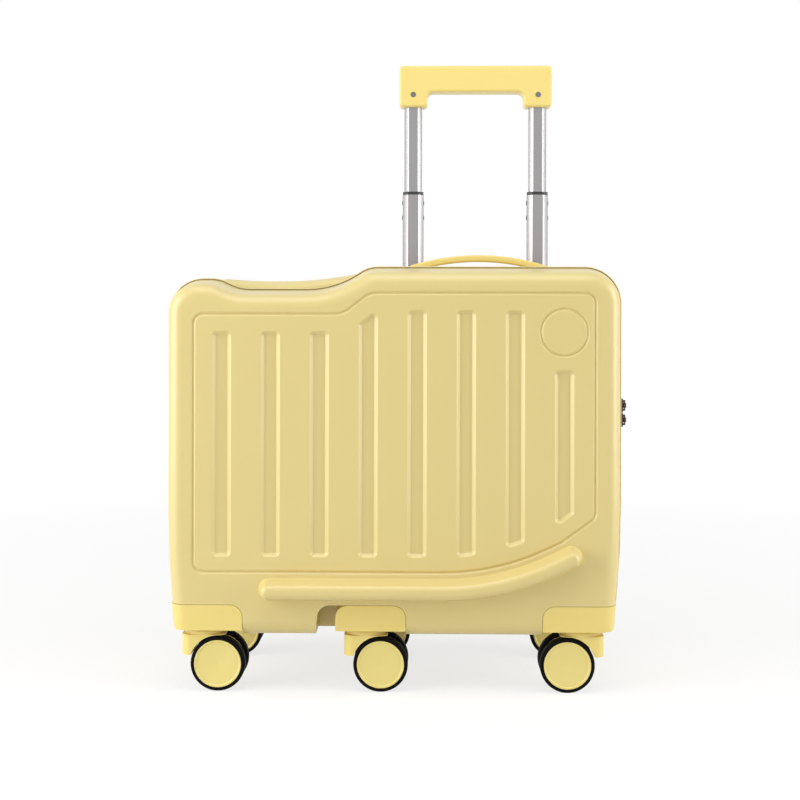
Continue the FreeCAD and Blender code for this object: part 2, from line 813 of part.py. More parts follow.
def shell(side, outer, extra_tools=()):
    """One moulded half: an even wall with footrest, groove, channels and walled caster notches."""
    wall = size("shell_wall")
    gap = size("housing_gap")
    hollow = half_solid(side, wall, past_rim=1.0).fuse(footrest(side, wall))
    notch_walls = [housing_block(place, side, gap + wall, with_recess=True) for place in CASTERS]
    hollow = hollow.cut(channel_backs(side) + notch_walls)
    notches = [housing_block(place, side, gap, with_recess=True) for place in CASTERS]
    body = outer.cut([groove(side)] + channels(side)).fuse(footrest(side))
    return body.cut([hollow] + notches + list(extra_tools)).removeSplitter()


def ring(y0, y1, outer, inner, rise_outer, rise_inner):
    """A closed band round the case between two insets and two levels of y."""
    travel = Vector(0, y1 - y0, 0)
    whole = prism(case_outline(y0, outer, rise_outer), travel)
    return whole.cut(prism(case_outline(y0, inner, rise_inner), travel))


def zip_tape(side):
    """One side of the zipper: a proud band at the rim and a flange sewn inside the shell."""
    proud, thick = size("zip_proud"), size("zip_thickness")
    seam = size("parting_y") + side * size("zip_parting_clearance")
    rim = rim_y(side) - side * size("zip_rim_clearance")
    inner = thick - proud
    flange = size("zip_flange_thickness")
    band = ring(seam, rim, -proud, inner, 0.0, inner)
    skirt = ring(rim, rim + side * size("zip_flange_depth"), inner - flange, inner, inner - flange, inner)
    spare = size("housing_gap") + size("shell_wall") + size("zip_rim_clearance")
    notches = [housing_block(place, side, spare, with_recess=True) for place in CASTERS]
    return band.fuse(skirt.cut(notches)).removeSplitter()


def saddle(outer):
    """The saddle pad: hollow along its length, crowned across, cut to sit on the seat of the back half."""
    front, back = rim_y(BACK) + size("saddle_zip_gap"), size("saddle_back_y")
    left, low_x, right = size("saddle_left"), size("saddle_low_x"), size("saddle_right")
    floor = size("seat_height") - size("saddle_corner_radius")
    sections = []
    for place in (0.0, 0.5, 1.0):
        y = front + place * (back - front)
        drop = size("saddle_crown") * (2 * place - 1) ** 2
        crown = [Vector(x, y, z - drop) for x, z in (
            (left, size("saddle_left_z")), (low_x, size("saddle_low_z")), (right, size("saddle_right_z")))]
        foot_left, foot_right = Vector(left, y, floor), Vector(right, y, floor)
        sections.append(Part.Wire([Part.Arc(*crown).toShape(), Part.makeLine(crown[2], foot_right),
                                   Part.makeLine(foot_right, foot_left), Part.makeLine(foot_left, crown[0])]))
    corner_r = size("saddle_corner_radius")
    plan = rounded(in_plan(floor), [(left, front, corner_r), (right, front, corner_r),
                                    (right, back, corner_r), (left, back, corner_r)])
    block = Part.makeLoft(sections, True, False).common(prism(plan, Vector(0, 0, size("deck_height"))))
    top = max(block.Faces, key=lambda face: face.CenterOfMass.z)
    block = block.makeFillet(size("saddle_edge_round"), top.Edges)
    return max(block.cut(outer).Solids, key=lambda solid: solid.Volume)


def housing(place, side, outer):
    """A caster housing: a block shaped by the case, hollow and open at its back, with a boss for the stem.

    It follows the case's sides further down than the case itself, whose lower corners are rounder.
    """
    wall = size("housing_wall")
    x, y = size(CASTERS[place][0]), side * size("caster_y")
    bottom = size("housing_bottom")
    floor = bottom + wall
    down = Vector(0, 0, -size("housing_drop"))
    block = outer.translated(down).common(housing_block(place, side))
    hollow = half_solid(side, wall).translated(down).common(housing_block(place, side, -wall, lift=wall))
    hollow = hollow.fuse(hollow.translated(Vector(0, -side * 2 * wall, 0)))
    bore_r = size("stem_radius") + size("running_clearance")
    hole = Part.makeCylinder(bore_r, size("stem_depth"), Vector(x, y, bottom))
    boss = Part.makeCylinder(size("stem_boss_radius"), size("housing_top") - floor, Vector(x, y, floor))
    return block.cut(hollow).fuse(boss).cut(hole).removeSplitter()


lid_outer = half_solid(LID)
back_outer = half_solid(BACK)
back_block = doc.addObject("Part::Feature", "back_block")
back_block.Shape = back_outer

# Trolley tubes, guides and collars

TUBES = ("left_tube_x", "right_tube_x")


def tubes(name, grow, bore, low, high):
    """A pair of matching tubes."""
    loops = [tube_section(x, g) for x in TUBES for g in (grow, bore)]
    return pad(new_body(name), "XY", low, high, loops)


def tube_blocks(name, grow, low, high):
    """A pair of solid lengths of the tube section."""
    return pad(new_body(name), "XY", low, high, [tube_section(x, grow) for x in TUBES])


node("trolley_outer_tubes", tubes("outer_tubes", "outer_grow", "outer_bore_grow", "outer_tube_bottom",
                                  "outer_tube_top"))
stud_levels = ("middle_tube_top - stud_first_drop", "middle_tube_top - stud_second_drop")
stud_holes = [cylinder("stud_hole", "X", ("left_tube_x - outer_half_width", "trolley_y", level),
                       "stud_radius + stud_clearance", "tube_pitch + 2 * outer_half_width")
              for level in stud_levels]
middle_walls = tubes("middle_walls", "middle_grow", "tube_gap", "middle_tube_bottom", "middle_tube_top")
node("trolley_middle_tubes", cut("middle_tubes", middle_walls, *stud_holes))

collars = tubes("collars", "(middle_grow - collar_step)", "collar_bore_gap", "middle_tube_top", "collar_top")
studs = []
for x in TUBES:
    for level in stud_levels:
        inner = "(upper_tube_width / 2 + tube_gap)"
        length = "middle_tube_wall + stud_proud"
        for base in (f"{x} + {inner}", f"{x} - {inner} - ({length})"):
            studs.append(cylinder("stud", "X", (base, "trolley_y", level), "stud_radius", length))
node("trolley_middle_collars", fuse("collars_and_studs", collars, *studs))

middle_guides = tube_blocks("middle_guides", "(outer_bore_grow - guide_clearance)",
                            "middle_tube_bottom - guide_height", "middle_tube_bottom")
middle_spigots = tube_blocks("middle_spigots", "(tube_gap - seat_clearance)", "middle_tube_bottom",
                             "middle_tube_bottom + guide_spigot")
node("trolley_middle_guides", fuse("middle_guide_pair", middle_guides, middle_spigots))
upper_guides = tube_blocks("upper_guides", "(tube_gap - guide_clearance)", "upper_tube_bottom - guide_height",
                           "upper_tube_bottom")
upper_spigots = tube_blocks("upper_spigots", "(-upper_tube_wall - seat_clearance)", "upper_tube_bottom",
                            "upper_tube_bottom + guide_spigot")
node("trolley_upper_guides", fuse("upper_guide_pair", upper_guides, upper_spigots))

# Grip, its screws and its button

screw_holes = []
screws = []
for x in TUBES:
    for pieces, spare in ((screws, "0"), (screw_holes, "seat_clearance")):
        pieces.append(cylinder("screw_head", "Y", (x, "screw_head_y - (" + spare + ") * 10", "screw_z"),
                               f"screw_head_radius + {spare}", f"screw_head_height + ({spare}) * 11"))
        pieces.append(cylinder("screw_shank", "Y", (x, "screw_head_y", "screw_z"), f"screw_radius + {spare}",
                               f"screw_length + {spare}"))
upper_walls = tubes("upper_walls", "0", "-upper_tube_wall", "upper_tube_bottom", "upper_tube_top")
node("trolley_upper_tubes", cut("upper_tubes", upper_walls, fuse("screw_holes_in_tubes", *screw_holes)))
node("grip_screws", fuse("screws", *screws))

grip_left, grip_right = "trolley_x - grip_half_width", "trolley_x + grip_half_width"
leg_left, leg_right = f"{grip_left} + grip_leg_width", f"{grip_right} - grip_leg_width"
grip_body = pad(new_body("grip_body"), "XZ", "grip_front_y", "grip_back_y", [[
    (grip_left, "grip_bottom"), (leg_left, "grip_bottom"), (leg_left, "grip_bar_bottom"),
    (leg_right, "grip_bar_bottom"), (leg_right, "grip_bottom"), (grip_right, "grip_bottom"),
    (grip_right, "grip_top"), (grip_left, "grip_top")]])
round_edges(grip_body, "grip_inner_round", lambda e: runs_along(e, 1) and at_level(e, 2, size("grip_bar_bottom")))
round_edges(grip_body, "grip_corner_round", lambda e: runs_along(e, 1) and at_level(e, 2, size("grip_top")))
round_edges(grip_body, "grip_edge_round", lambda e: at_level(e, 1, size("grip_front_y"))
            or at_level(e, 1, size("grip_back_y")))
button_left, button_right = "trolley_x - button_length / 2", "trolley_x + button_length / 2"
button_near, button_far = "trolley_y - button_width / 2", "trolley_y + button_width / 2"
pocket(grip_body, "XY", "button_floor - button_travel - button_clearance", "grip_top", [rectangle(
    f"{button_left} - button_clearance", f"{button_right} + button_clearance",
    f"{button_near} - button_clearance", f"{button_far} + button_clearance")])
sockets = tube_blocks("grip_sockets", "seat_clearance", "grip_bottom - 1", "upper_tube_top + seat_clearance")
node("grip", cut("grip_with_sockets", grip_body, sockets, *screw_holes))

button_body = pad(new_body("button_body"), "XY", "button_floor", "button_floor + button_height",
                  [rectangle(button_left, button_right, button_near, button_far)])
round_edges(button_body, "button_round", lambda e: runs_along(e, 2))
node("grip_button", button_body)

# Trolley plate on the deck and bracket at the foot

def tube_span(margin):
    """The formulas of the rectangle round both outer tubes, with a margin."""
    return (f"left_tube_x - outer_half_width - {margin}", f"right_tube_x + outer_half_width + {margin}",
            f"trolley_y - outer_half_depth - {margin}", f"trolley_y + outer_half_depth + {margin}")


plate_body = pad(new_body("plate_body"), "XY", "seat_height", "plate_top", [rectangle(*tube_span("plate_margin"))])
round_edges(plate_body, "plate_round", lambda e: runs_along(e, 2))
tube_seats = tube_blocks("tube_seats", "(outer_grow + seat_clearance)", "outer_tube_bottom", "outer_tube_top")
tube_mouths = tube_blocks("tube_mouths", "outer_bore_grow", "outer_tube_bottom", "plate_top + 1")
node("trolley_plate", cut("plate_on_deck", plate_body, back_block, tube_seats, tube_mouths))
bracket_span = tube_span("bracket_margin")
bracket_block = box("bracket_block", bracket_span[:2], bracket_span[2:],
                    ("bracket_bottom", "bracket_bottom + bracket_height"))
node("trolley_bracket", cut("bracket_with_sockets", bracket_block, tube_seats))

# Carry handle: an arched strap whose legs slide through the deck

arch_base_y = "carry_y - carry_width / 2"
arch_centre_z = "carry_apex - carry_arch_radius"
strap_floor = "base_top + carry_lift_gap"
arch_outside = cylinder("arch_outside", "Y", ("carry_x", arch_base_y, arch_centre_z),
                        "carry_arch_radius", "carry_width")
arch_inside = cylinder("arch_inside", "Y", ("carry_x", f"{arch_base_y} - 1", arch_centre_z),
                       "carry_arch_radius - carry_thickness", "carry_width + 2")
strap_block = box("strap_block", ("carry_left", "carry_right"), (arch_base_y, "carry_y + carry_width / 2"),
                  (strap_floor, "carry_apex + 1"))
strap = cut("strap", common("strap_arch", strap_block, arch_outside), arch_inside)
leg_spans = (("carry_left", "carry_left + carry_leg_length"), ("carry_right - carry_leg_length", "carry_right"))
legs, stops, leg_slots, bases = [], [], [], []
for low, high in leg_spans:
    near, far = "carry_y - carry_leg_width / 2", "carry_y + carry_leg_width / 2"
    legs.append(box("leg", (low, high), (near, far), ("carry_leg_bottom", f"{strap_floor} + 1")))
    stops.append(box("stop", (low, high), (f"{near} - carry_stop_proud", f"{far} + carry_stop_proud"),
                     ("carry_leg_bottom", "carry_leg_bottom + carry_stop_height")))
    for pieces, name, margin, top in ((leg_slots, "leg_slot", "carry_clearance", "carry_apex"),
                                      (bases, "base_block", "base_margin", "base_top")):
        pieces.append(box(name, (f"{low} - {margin}", f"{high} + {margin}"),
                          (f"{near} - {margin}", f"{far} + {margin}"), ("seat_height", top)))
node("carry_handle", fuse("strap_and_legs", strap, *legs, *stops))
node("carry_handle_bases", cut("bases_on_deck", fuse("base_blocks", *bases), back_block, *leg_slots))

# Lock: case, shaft, dials and button

lock_near, lock_far = "lock_y - lock_width / 2", "lock_y + lock_width / 2"
lock_low, lock_high = "lock_z - lock_height / 2", "lock_z + lock_height / 2"
lock_back = "lock_face_x - lock_depth"


def lock_block(name, margin, low_x, high_x):
    """A rounded block about the lock's centre, larger than the case by a margin."""
    body = pad(new_body(name), "YZ", low_x, high_x, [rectangle(
        f"{lock_near} - {margin}", f"{lock_far} + {margin}", f"{lock_low} - {margin}", f"{lock_high} + {margin}")])
    return round_edges(body, f"lock_round + {margin}", lambda e: runs_along(e, 0))


lock_body = lock_block("lock_body", "0", lock_back, "lock_face_x")
flange_block = lock_block("flange_block", "lock_flange", lock_back, "lock_face_x - lock_flange_step")
lock_flange = cut("lock_flange", flange_block, back_block)
lock_opening = lock_block("lock_opening", "seat_clearance", lock_back, "lock_face_x + 1")
dial_levels = [f"dial_first_z + {i} * dial_pitch" for i in range(3)]
dial_rooms = [cylinder("dial_room", "Z", ("dial_x", "lock_y", f"{level} - dial_clearance"),
                       "dial_radius + dial_clearance", "dial_thickness + 2 * dial_clearance")
              for level in dial_levels]
shaft_low, shaft_length = "dial_first_z - dial_thickness", "3 * dial_pitch + dial_thickness"
shaft_room = cylinder("shaft_room", "Z", ("dial_x", "lock_y", shaft_low), "dial_shaft_radius + running_clearance",
                      shaft_length)
lock_button_y = ("lock_y - lock_button_width / 2", "lock_y + lock_button_width / 2")
lock_button_span = ("lock_button_z - lock_button_height / 2", "lock_button_z + lock_button_height / 2")
lock_button_top = "lock_face_x + lock_button_proud"
button_room = box("button_room", (f"{lock_button_top} - lock_button_depth - lock_button_travel - button_clearance",
                                  f"{lock_button_top} + 1"),
                  (f"{lock_button_y[0]} - button_clearance", f"{lock_button_y[1]} + button_clearance"),
                  (f"{lock_button_span[0]} - button_clearance", f"{lock_button_span[1]} + button_clearance"))
lock_solid = fuse("lock_solid", lock_body, lock_flange)
node("lock_case", cut("lock_case_body", lock_solid, *dial_rooms, shaft_room, button_room))
node("lock_shaft", cylinder("lock_shaft", "Z", ("dial_x", "lock_y", shaft_low), "dial_shaft_radius", shaft_length))
node("lock_button", box("lock_button", (f"{lock_button_top} - lock_button_depth", lock_button_top), lock_button_y,
                        lock_button_span))
for i, level in enumerate(dial_levels, start=1):
    wheel = cylinder("dial_wheel", "Z", ("dial_x", "lock_y", level), "dial_radius", "dial_thickness")
    bore = cylinder("dial_bore", "Z", ("dial_x", "lock_y", f"{level} - 1"), "dial_shaft_radius + running_clearance",
                    "dial_thickness + 2")
    node(f"lock_dial_{i}", cut(f"dial_{i}", wheel, bore))

# Zipper sliders and their pulls

for name, way in (("upper", 1), ("lower", -1)):
    near_end = f"slider_meet_z + ({way}) * slider_gap / 2"
    far_end = f"slider_meet_z + ({way}) * (slider_gap / 2 + slider_length)"
    low, high = (near_end, far_end) if way == 1 else (far_end, near_end)
    middle = f"slider_meet_z + ({way}) * (slider_gap + slider_length) / 2"
    broad, narrow = "slider_width / 2", "slider_nose_width / 2"
    plate = pad(new_body(f"{name}_plate"), "YZ", "slider_base_x", "slider_plate_x", [[
        (f"parting_y - {narrow}", far_end), (f"parting_y - {broad}", middle), (f"parting_y - {broad}", near_end),
        (f"parting_y + {broad}", near_end), (f"parting_y + {broad}", middle), (f"parting_y + {narrow}", far_end)]])
    span = ("parting_y - bridge_bar_radius", "parting_y + bridge_bar_radius")
    height = ("slider_plate_x", "bridge_x")
    posts = [box("post", height, span, (f"{low} + bridge_inset", f"{low} + bridge_inset + bridge_foot")),
             box("post", height, span, (f"{high} - bridge_inset - bridge_foot", f"{high} - bridge_inset"))]
    bar = cylinder("bridge_bar", "Z", ("bridge_x", "parting_y", f"{low} + bridge_inset"), "bridge_bar_radius",
                   "slider_length - 2 * bridge_inset")
    node(f"{name}_zip_slider", fuse(f"{name}_slider", plate, bar, *posts))
    eye = cylinder("eye", "Z", ("bridge_x", "parting_y", f"{middle} - eye_length / 2"), "eye_radius", "eye_length")
    tab = box("tab", ("bridge_x - pull_thickness / 2", "bridge_x + pull_thickness / 2"),
              ("parting_y", "parting_y + pull_length"),
              (f"{middle} - pull_width / 2", f"{middle} + pull_width / 2"))
    eye_bore = cylinder("eye_bore", "Z", ("bridge_x", "parting_y", f"{middle} - pull_width"), "eye_bore_radius",
                        "2 * pull_width")
    hole_y = "parting_y + pull_length - pull_width / 2"
    hole = cylinder("pull_hole", "X", ("bridge_x - pull_thickness", hole_y, middle),
                    "pull_hole_radius", "2 * pull_thickness")
    node(f"{name}_zip_pull", cut(f"{name}_pull", fuse(f"{name}_pull_solid", eye, tab), eye_bore, hole))

# The shells, zipper tapes, saddle and caster housings

back_mould = doc.addObject("Part::Feature", "back_mould")
back_mould.Shape = shell(BACK, back_outer)
node("back_shell", cut("back_shell_body", back_mould, tube_seats, lock_opening, *leg_slots))
shape_node("front_shell", shell(LID, lid_outer, [dish()]))
shape_node("back_zip_tape", zip_tape(BACK))
shape_node("front_zip_tape", zip_tape(LID))
shape_node("seat_saddle", saddle(back_outer))

# Casters: housing, stem, fork, axle, hubs and tyres

def place_body(obj, side, place, ahead="0", height="0"):
    """Set a piece drawn about the swivel axis at its caster, turned the way the caster trails."""
    x, turn = CASTERS[place]
    way = -1 if turn else 1
    obj.Placement = Placement(Vector(), Rotation(Vector(0, 0, 1), turn))
    return bind(obj, {"Placement.Base.x": f"{x} + ({way}) * ({ahead})", "Placement.Base.y": f"({side}) * caster_y",
                      "Placement.Base.z": height})


def fork(name):
    """A swivel fork about its own axis: a hood over the wheels, a web down to the axle, a boss for the stem.

    The hood is round where it turns inside the notch, and wide below the case floor, where it skirts both wheels.
    """
    shoulder = "fork_top - hood_round"
    hood = revolve(new_body(f"{name}_hood"), "XZ", "V_Axis", [[
        ("0", "hood_bottom"), ("hood_radius", "hood_bottom"), ("hood_radius", shoulder),
        ("hood_radius - hood_round * 0.3", "fork_top - hood_round * 0.3"),
        ("hood_radius - hood_round", "fork_top"), ("0", "fork_top")]])
    skirt = pad(new_body(f"{name}_skirt"), "XY", "hood_bottom", "skirt_top", [rectangle(
        "-skirt_half_length", "skirt_half_length", "-wheel_outer_face", "wheel_outer_face")])
    round_edges(skirt, "skirt_corner_radius", lambda e: runs_along(e, 2))
    room = cylinder("wheel_room", "Y", ("wheel_trail", "-2 * hood_radius", "wheel_radius"),
                    "wheel_radius + hood_wheel_gap", "4 * hood_radius")
    half_web = "web_thickness / 2"
    web = pad(new_body(f"{name}_web"), "XZ", f"-{half_web}", half_web, [[
        ("-stem_boss_radius", "boss_bottom"), ("wheel_trail - web_end_radius", "wheel_radius"),
        ("wheel_trail + web_end_radius", "wheel_radius"), ("hood_radius - hood_round", shoulder),
        ("-stem_boss_radius", shoulder)]])
    web_end = cylinder("web_end", "Y", ("wheel_trail", f"-{half_web}", "wheel_radius"),
                       "web_end_radius", "web_thickness")
    boss = cylinder("boss", "Z", ("0", "0", "boss_bottom"), "stem_boss_radius", "boss_length")
    cover = cut(f"{name}_cover", fuse(f"{name}_hood_and_skirt", hood, skirt), room)
    solid = fuse(f"{name}_solid", cover, web, web_end, boss)
    stem_bore = cylinder("stem_bore", "Z", ("0", "0", "boss_bottom - 1"), "stem_radius + running_clearance",
                         "boss_length + 2")
    head_room = cylinder("head_room", "Z", ("0", "0", "boss_bottom - stem_head_height"),
                         "stem_head_radius + swivel_gap", "2 * stem_head_height + swivel_gap")
    axle_bore = cylinder("axle_bore", "Y", ("wheel_trail", "-web_thickness", "wheel_radius"),
                         "axle_radius + running_clearance", "2 * web_thickness")
    return cut(name, solid, stem_bore, head_room, axle_bore)


def wheel_loop(points, way):
    return [(radius, f"({way}) * ({level})") for radius, level in points]


HUB = [("axle_radius", "wheel_inner_face"), ("hub_radius", "wheel_inner_face"),
       ("hub_radius", "wheel_outer_face"), ("hub_radius - hub_rim", "wheel_outer_face"),
       ("hub_radius - hub_rim - hub_dish", "wheel_outer_face - hub_dish"),
       ("0", "wheel_outer_face - hub_dish"), ("0", "wheel_outer_face - axle_cap"),
       ("axle_radius", "wheel_outer_face - axle_cap")]
TYRE = [("hub_radius", "wheel_inner_face"), ("wheel_radius - tyre_round * 0.5", "wheel_inner_face"),
        ("wheel_radius - tyre_round * 0.12", "wheel_inner_face + tyre_round * 0.4"),
        ("wheel_radius", "wheel_inner_face + tyre_round"), ("wheel_radius", "wheel_outer_face - tyre_round"),
        ("wheel_radius - tyre_round * 0.12", "wheel_outer_face - tyre_round * 0.4"),
        ("wheel_radius - tyre_round * 0.5", "wheel_outer_face"), ("hub_radius", "wheel_outer_face")]

for half, side, outer in (("front", LID, lid_outer), ("back", BACK, back_outer)):
    stems = []
    for place, (x, turn) in CASTERS.items():
        name = f"{half}_{place}"
        shape_node(f"{name}_caster_housing", housing(place, side, outer))
        y = f"({side}) * caster_y"
        stems.append(cylinder("stem", "Z", (x, y, "boss_bottom"), "stem_radius",
                              "housing_bottom + stem_depth - boss_bottom"))
        stems.append(cylinder("stem_head", "Z", (x, y, "boss_bottom"), "stem_head_radius", "stem_head_height"))
        node(f"{name}_caster_fork", place_body(fork(f"{name}_fork"), side, place))
        axle = cylinder("axle", "Y", ("0", "axle_cap - wheel_outer_face", "0"), "axle_radius",
                        "2 * (wheel_outer_face - axle_cap)")
        bind(axle, {"Placement.Base.x": f"{x} + ({-1 if turn else 1}) * wheel_trail",
                    "Placement.Base.y": f"({side}) * caster_y - wheel_outer_face + axle_cap",
                    "Placement.Base.z": "wheel_radius"})
        node(f"{name}_caster_axle", axle)
        for kind, profile in (("hubs", HUB), ("tyres", TYRE)):
            loops = [wheel_loop(profile, way) for way in (1, -1)]
            wheel = revolve(new_body(f"{name}_{kind}"), "XY", "V_Axis", loops)
            node(f"{name}_caster_{kind}", place_body(wheel, side, place, "wheel_trail", "wheel_radius"))
    node(f"{half}_caster_stems", fuse(f"{half}_stems", *stems))

doc.recompute()

# Check every object and write one file for each piece

for obj in doc.Objects:
    if any(state in obj.State for state in ("Invalid", "Error")):
        raise RuntimeError(f"{obj.Label} did not build")
os.makedirs("parts", exist_ok=True)
for label, obj in NODES.items():
    shape = obj.Shape
    if shape.isNull() or not shape.isValid() or not shape.Solids:
        raise RuntimeError(f"{label} is not a sound solid")
    shape.exportStep(f"parts/{label}.step")
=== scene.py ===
# %% [markdown]
# A ride-on suitcase: a hard two-part shell on twin-wheel casters, with a saddle dipped into its top, footrest
# ridges on both faces and a telescopic trolley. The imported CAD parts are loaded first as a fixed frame. Every
# piece made below is worked out in millimetres, in that same frame, and rides on the CAD body that carries it.

import json
import math

import bmesh
import bpy
import numpy as np
from mathutils import Matrix
from mathutils.geometry import delaunay_2d_cdt


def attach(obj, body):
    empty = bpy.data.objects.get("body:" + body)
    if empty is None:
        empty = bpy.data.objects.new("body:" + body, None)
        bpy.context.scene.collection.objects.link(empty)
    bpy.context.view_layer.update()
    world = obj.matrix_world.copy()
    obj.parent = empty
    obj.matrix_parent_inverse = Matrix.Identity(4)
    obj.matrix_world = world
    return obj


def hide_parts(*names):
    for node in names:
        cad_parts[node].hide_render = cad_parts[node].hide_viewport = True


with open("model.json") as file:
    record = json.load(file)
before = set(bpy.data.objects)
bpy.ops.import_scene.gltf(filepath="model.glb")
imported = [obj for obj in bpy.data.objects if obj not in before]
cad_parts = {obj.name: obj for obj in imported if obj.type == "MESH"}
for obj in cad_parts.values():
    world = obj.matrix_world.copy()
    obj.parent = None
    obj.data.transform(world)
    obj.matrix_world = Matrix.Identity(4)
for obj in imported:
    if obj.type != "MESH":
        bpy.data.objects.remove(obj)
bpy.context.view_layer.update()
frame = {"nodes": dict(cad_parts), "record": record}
MM = 0.001
LID, BACK = -1, 1
INSIDE_WITH_HOLES = 2

# %% [markdown]
# Three small tools carry the whole model. A grid joins a stack of rings into quads. A fill closes a flat region
# that may have holes, by a constrained triangulation, so a panel with eight channels needs no wasted faces.
# A build joins such patches, welds the points they share and turns every face outwards.

# %% Patches: rings joined into grids, and flat regions with holes
def grid(rings, wrap=False):
    """Quads between neighbouring closed rings of points; wrap joins the last ring to the first."""
    rings = np.asarray(rings, float)
    count, around = rings.shape[:2]
    ids = np.arange(count * around).reshape(count, around)
    rows = np.roll(ids, -1, axis=0) if wrap else ids[1:]
    here = ids if wrap else ids[:-1]
    quads = np.stack([here, np.roll(here, -1, axis=1), np.roll(rows, -1, axis=1), rows], axis=-1)
    return rings.reshape(-1, 3), quads.reshape(-1, 4).tolist()


def fill(loops, place):
    """Triangles over the flat region inside the first loop and outside the others; place maps (u, v) to space."""
    flat = np.concatenate(loops)
    starts = np.cumsum([0] + [len(loop) for loop in loops])
    rims = [list(range(a, b)) for a, b in zip(starts[:-1], starts[1:])]
    found = delaunay_2d_cdt([tuple(p) for p in flat], [], rims, INSIDE_WITH_HOLES, 1e-5)
    origin = [ids[0] for ids in found[3]]
    return place(flat), [[origin[i] for i in face] for face in found[2]]


def weld(patches):
    """Points and faces of several patches, with the points that they share made one."""
    points = np.concatenate([np.round(p, 4) for p, _ in patches])
    starts = np.cumsum([0] + [len(p) for p, _ in patches[:-1]])
    faces = [[i + s for i in face] for (_, fs), s in zip(patches, starts) for face in fs]
    unique, index = np.unique(points, axis=0, return_inverse=True)
    index = index.reshape(-1)
    kept = []
    for face in faces:
        ids = [int(index[i]) for i in face]
        ids = [a for a, b in zip(ids, ids[1:] + ids[:1]) if a != b]
        if len(ids) > 2:
            kept.append(ids)
    return unique, kept


def new_object(name, data):
    obj = bpy.data.objects.new(name, data)
    bpy.context.scene.collection.objects.link(obj)
    return obj


def build(name, patches, crease=32):
    """A mesh object from patches in millimetres, faces outwards, smooth but for edges sharper than the crease."""
    points, faces = weld(patches)
    mesh = bpy.data.meshes.new(name)
    mesh.from_pydata((points * MM).tolist(), [], faces)
    work = bmesh.new()
    work.from_mesh(mesh)
    bmesh.ops.recalc_face_normals(work, faces=work.faces)
    work.to_mesh(mesh)
    work.free()
    soften(mesh, crease)
    return new_object(name, mesh)


def soften(mesh, crease):
    mesh.shade_smooth()
    mesh.set_sharp_from_angle(angle=math.radians(crease))


def carve(obj, tools, how="DIFFERENCE", crease=32):
    """Cut, join or keep the overlap with other closed objects, then drop those tools."""
    for tool in tools:
        cutter = obj.modifiers.new("carve", "BOOLEAN")
        cutter.operation, cutter.solver, cutter.object = how, "MANIFOLD", tool
    view = bpy.context.evaluated_depsgraph_get()
    mesh = bpy.data.meshes.new_from_object(obj.evaluated_get(view))
    obj.modifiers.clear()
    obj.data = mesh
    soften(mesh, crease)
    for tool in tools:
        bpy.data.objects.remove(tool)
    return obj


# %% [markdown]
# Most outlines on the case are straight runs joined by tangent arcs. An arc keeps its centre when the outline
# moves in or out, so offsetting an outline is only a step along its normals, and rings at different offsets match
# point for point. That makes every rounded edge, groove and bevel a profile carried along an outline.

# %% Outlines
HAIR = 1e-6


def arc(centre, radius, first, last, way, step):
    """Points of an arc between two angles in degrees, a step or less apart, and normals out of the outline.

    way is 1 where the outline is convex and -1 where it is hollow. Where an arc is a whole number of steps, HAIR
    keeps a rounding error from adding a point, so every run makes the same mesh.
    """
    count = max(3, math.ceil(abs(last - first) / step - HAIR) + 1)
    angles = np.radians(np.linspace(first, last, count))
    ray = np.stack([np.cos(angles), np.sin(angles)], axis=1)
    return np.asarray(centre) + radius * ray, way * ray


def joined(arcs):
    """One outline from a run of arcs: all their points, and all their normals."""
    points, normals = zip(*arcs)
    return np.concatenate(points), np.concatenate(normals)


def corner_frames(corners):
    """For corners (u, v, radius): place, bisector, half angle, +1 for a convex or -1 for a hollow turn, radius."""
    corners = np.asarray(corners, float)
    at, radius = corners[:, :2], corners[:, 2]
    back = np.roll(at, 1, axis=0) - at
    ahead = np.roll(at, -1, axis=0) - at
    back /= np.linalg.norm(back, axis=1)[:, None]
    ahead /= np.linalg.norm(ahead, axis=1)[:, None]
    turn = np.sign(back[:, 1] * ahead[:, 0] - back[:, 0] * ahead[:, 1])
    half = np.arccos(np.clip((back * ahead).sum(1), -1, 1)) / 2
    middle = back + ahead
    middle /= np.linalg.norm(middle, axis=1)[:, None]
    return at, middle, half, turn, radius


def rounded(corners, step=6.0):
    """A closed outline through corners (u, v, radius): points, and unit normals that point out of it.

    At a corner the arc's centre lies on the bisector, at radius / sin(half angle) from the corner.
    """
    at, middle, half, turn, radius = corner_frames(corners)
    centre = at + middle * (radius / np.sin(half))[:, None]
    reach = turn * (90 - np.degrees(half))
    facing = np.degrees(np.arctan2(-middle[:, 1], -middle[:, 0]))
    return joined(arc(*row, step) for row in zip(centre, radius, facing - reach, facing + reach, turn))


def rectangle(u, v, width, height, radius, step=6.0):
    """A rectangle about (u, v) with round corners."""
    ways = ((-1, -1), (1, -1), (1, 1), (-1, 1))
    return rounded([(u + a * width / 2, v + b * height / 2, radius) for a, b in ways], step)


def planes(axis):
    """For each level along an axis, a map from flat points to space: the level goes in as that coordinate."""
    return lambda level: lambda flat: np.insert(flat, axis, level, axis=1)


on_end, on_face, on_deck = planes(0), planes(1), planes(2)


def carried(outline, profile, plane):
    """A profile of (offset, level) pairs carried along an outline; plane(level) maps flat points to space."""
    points, normals = outline
    return [plane(level)(points + offset * normals) for offset, level in profile]


def quarter(radius, count=5):
    """A quarter round as (inset, height) pairs, from flat on top to upright at the side."""
    a = np.linspace(0, math.pi / 2, count)
    return np.stack([radius - radius * np.sin(a), radius * (1 - np.cos(a))], axis=1)


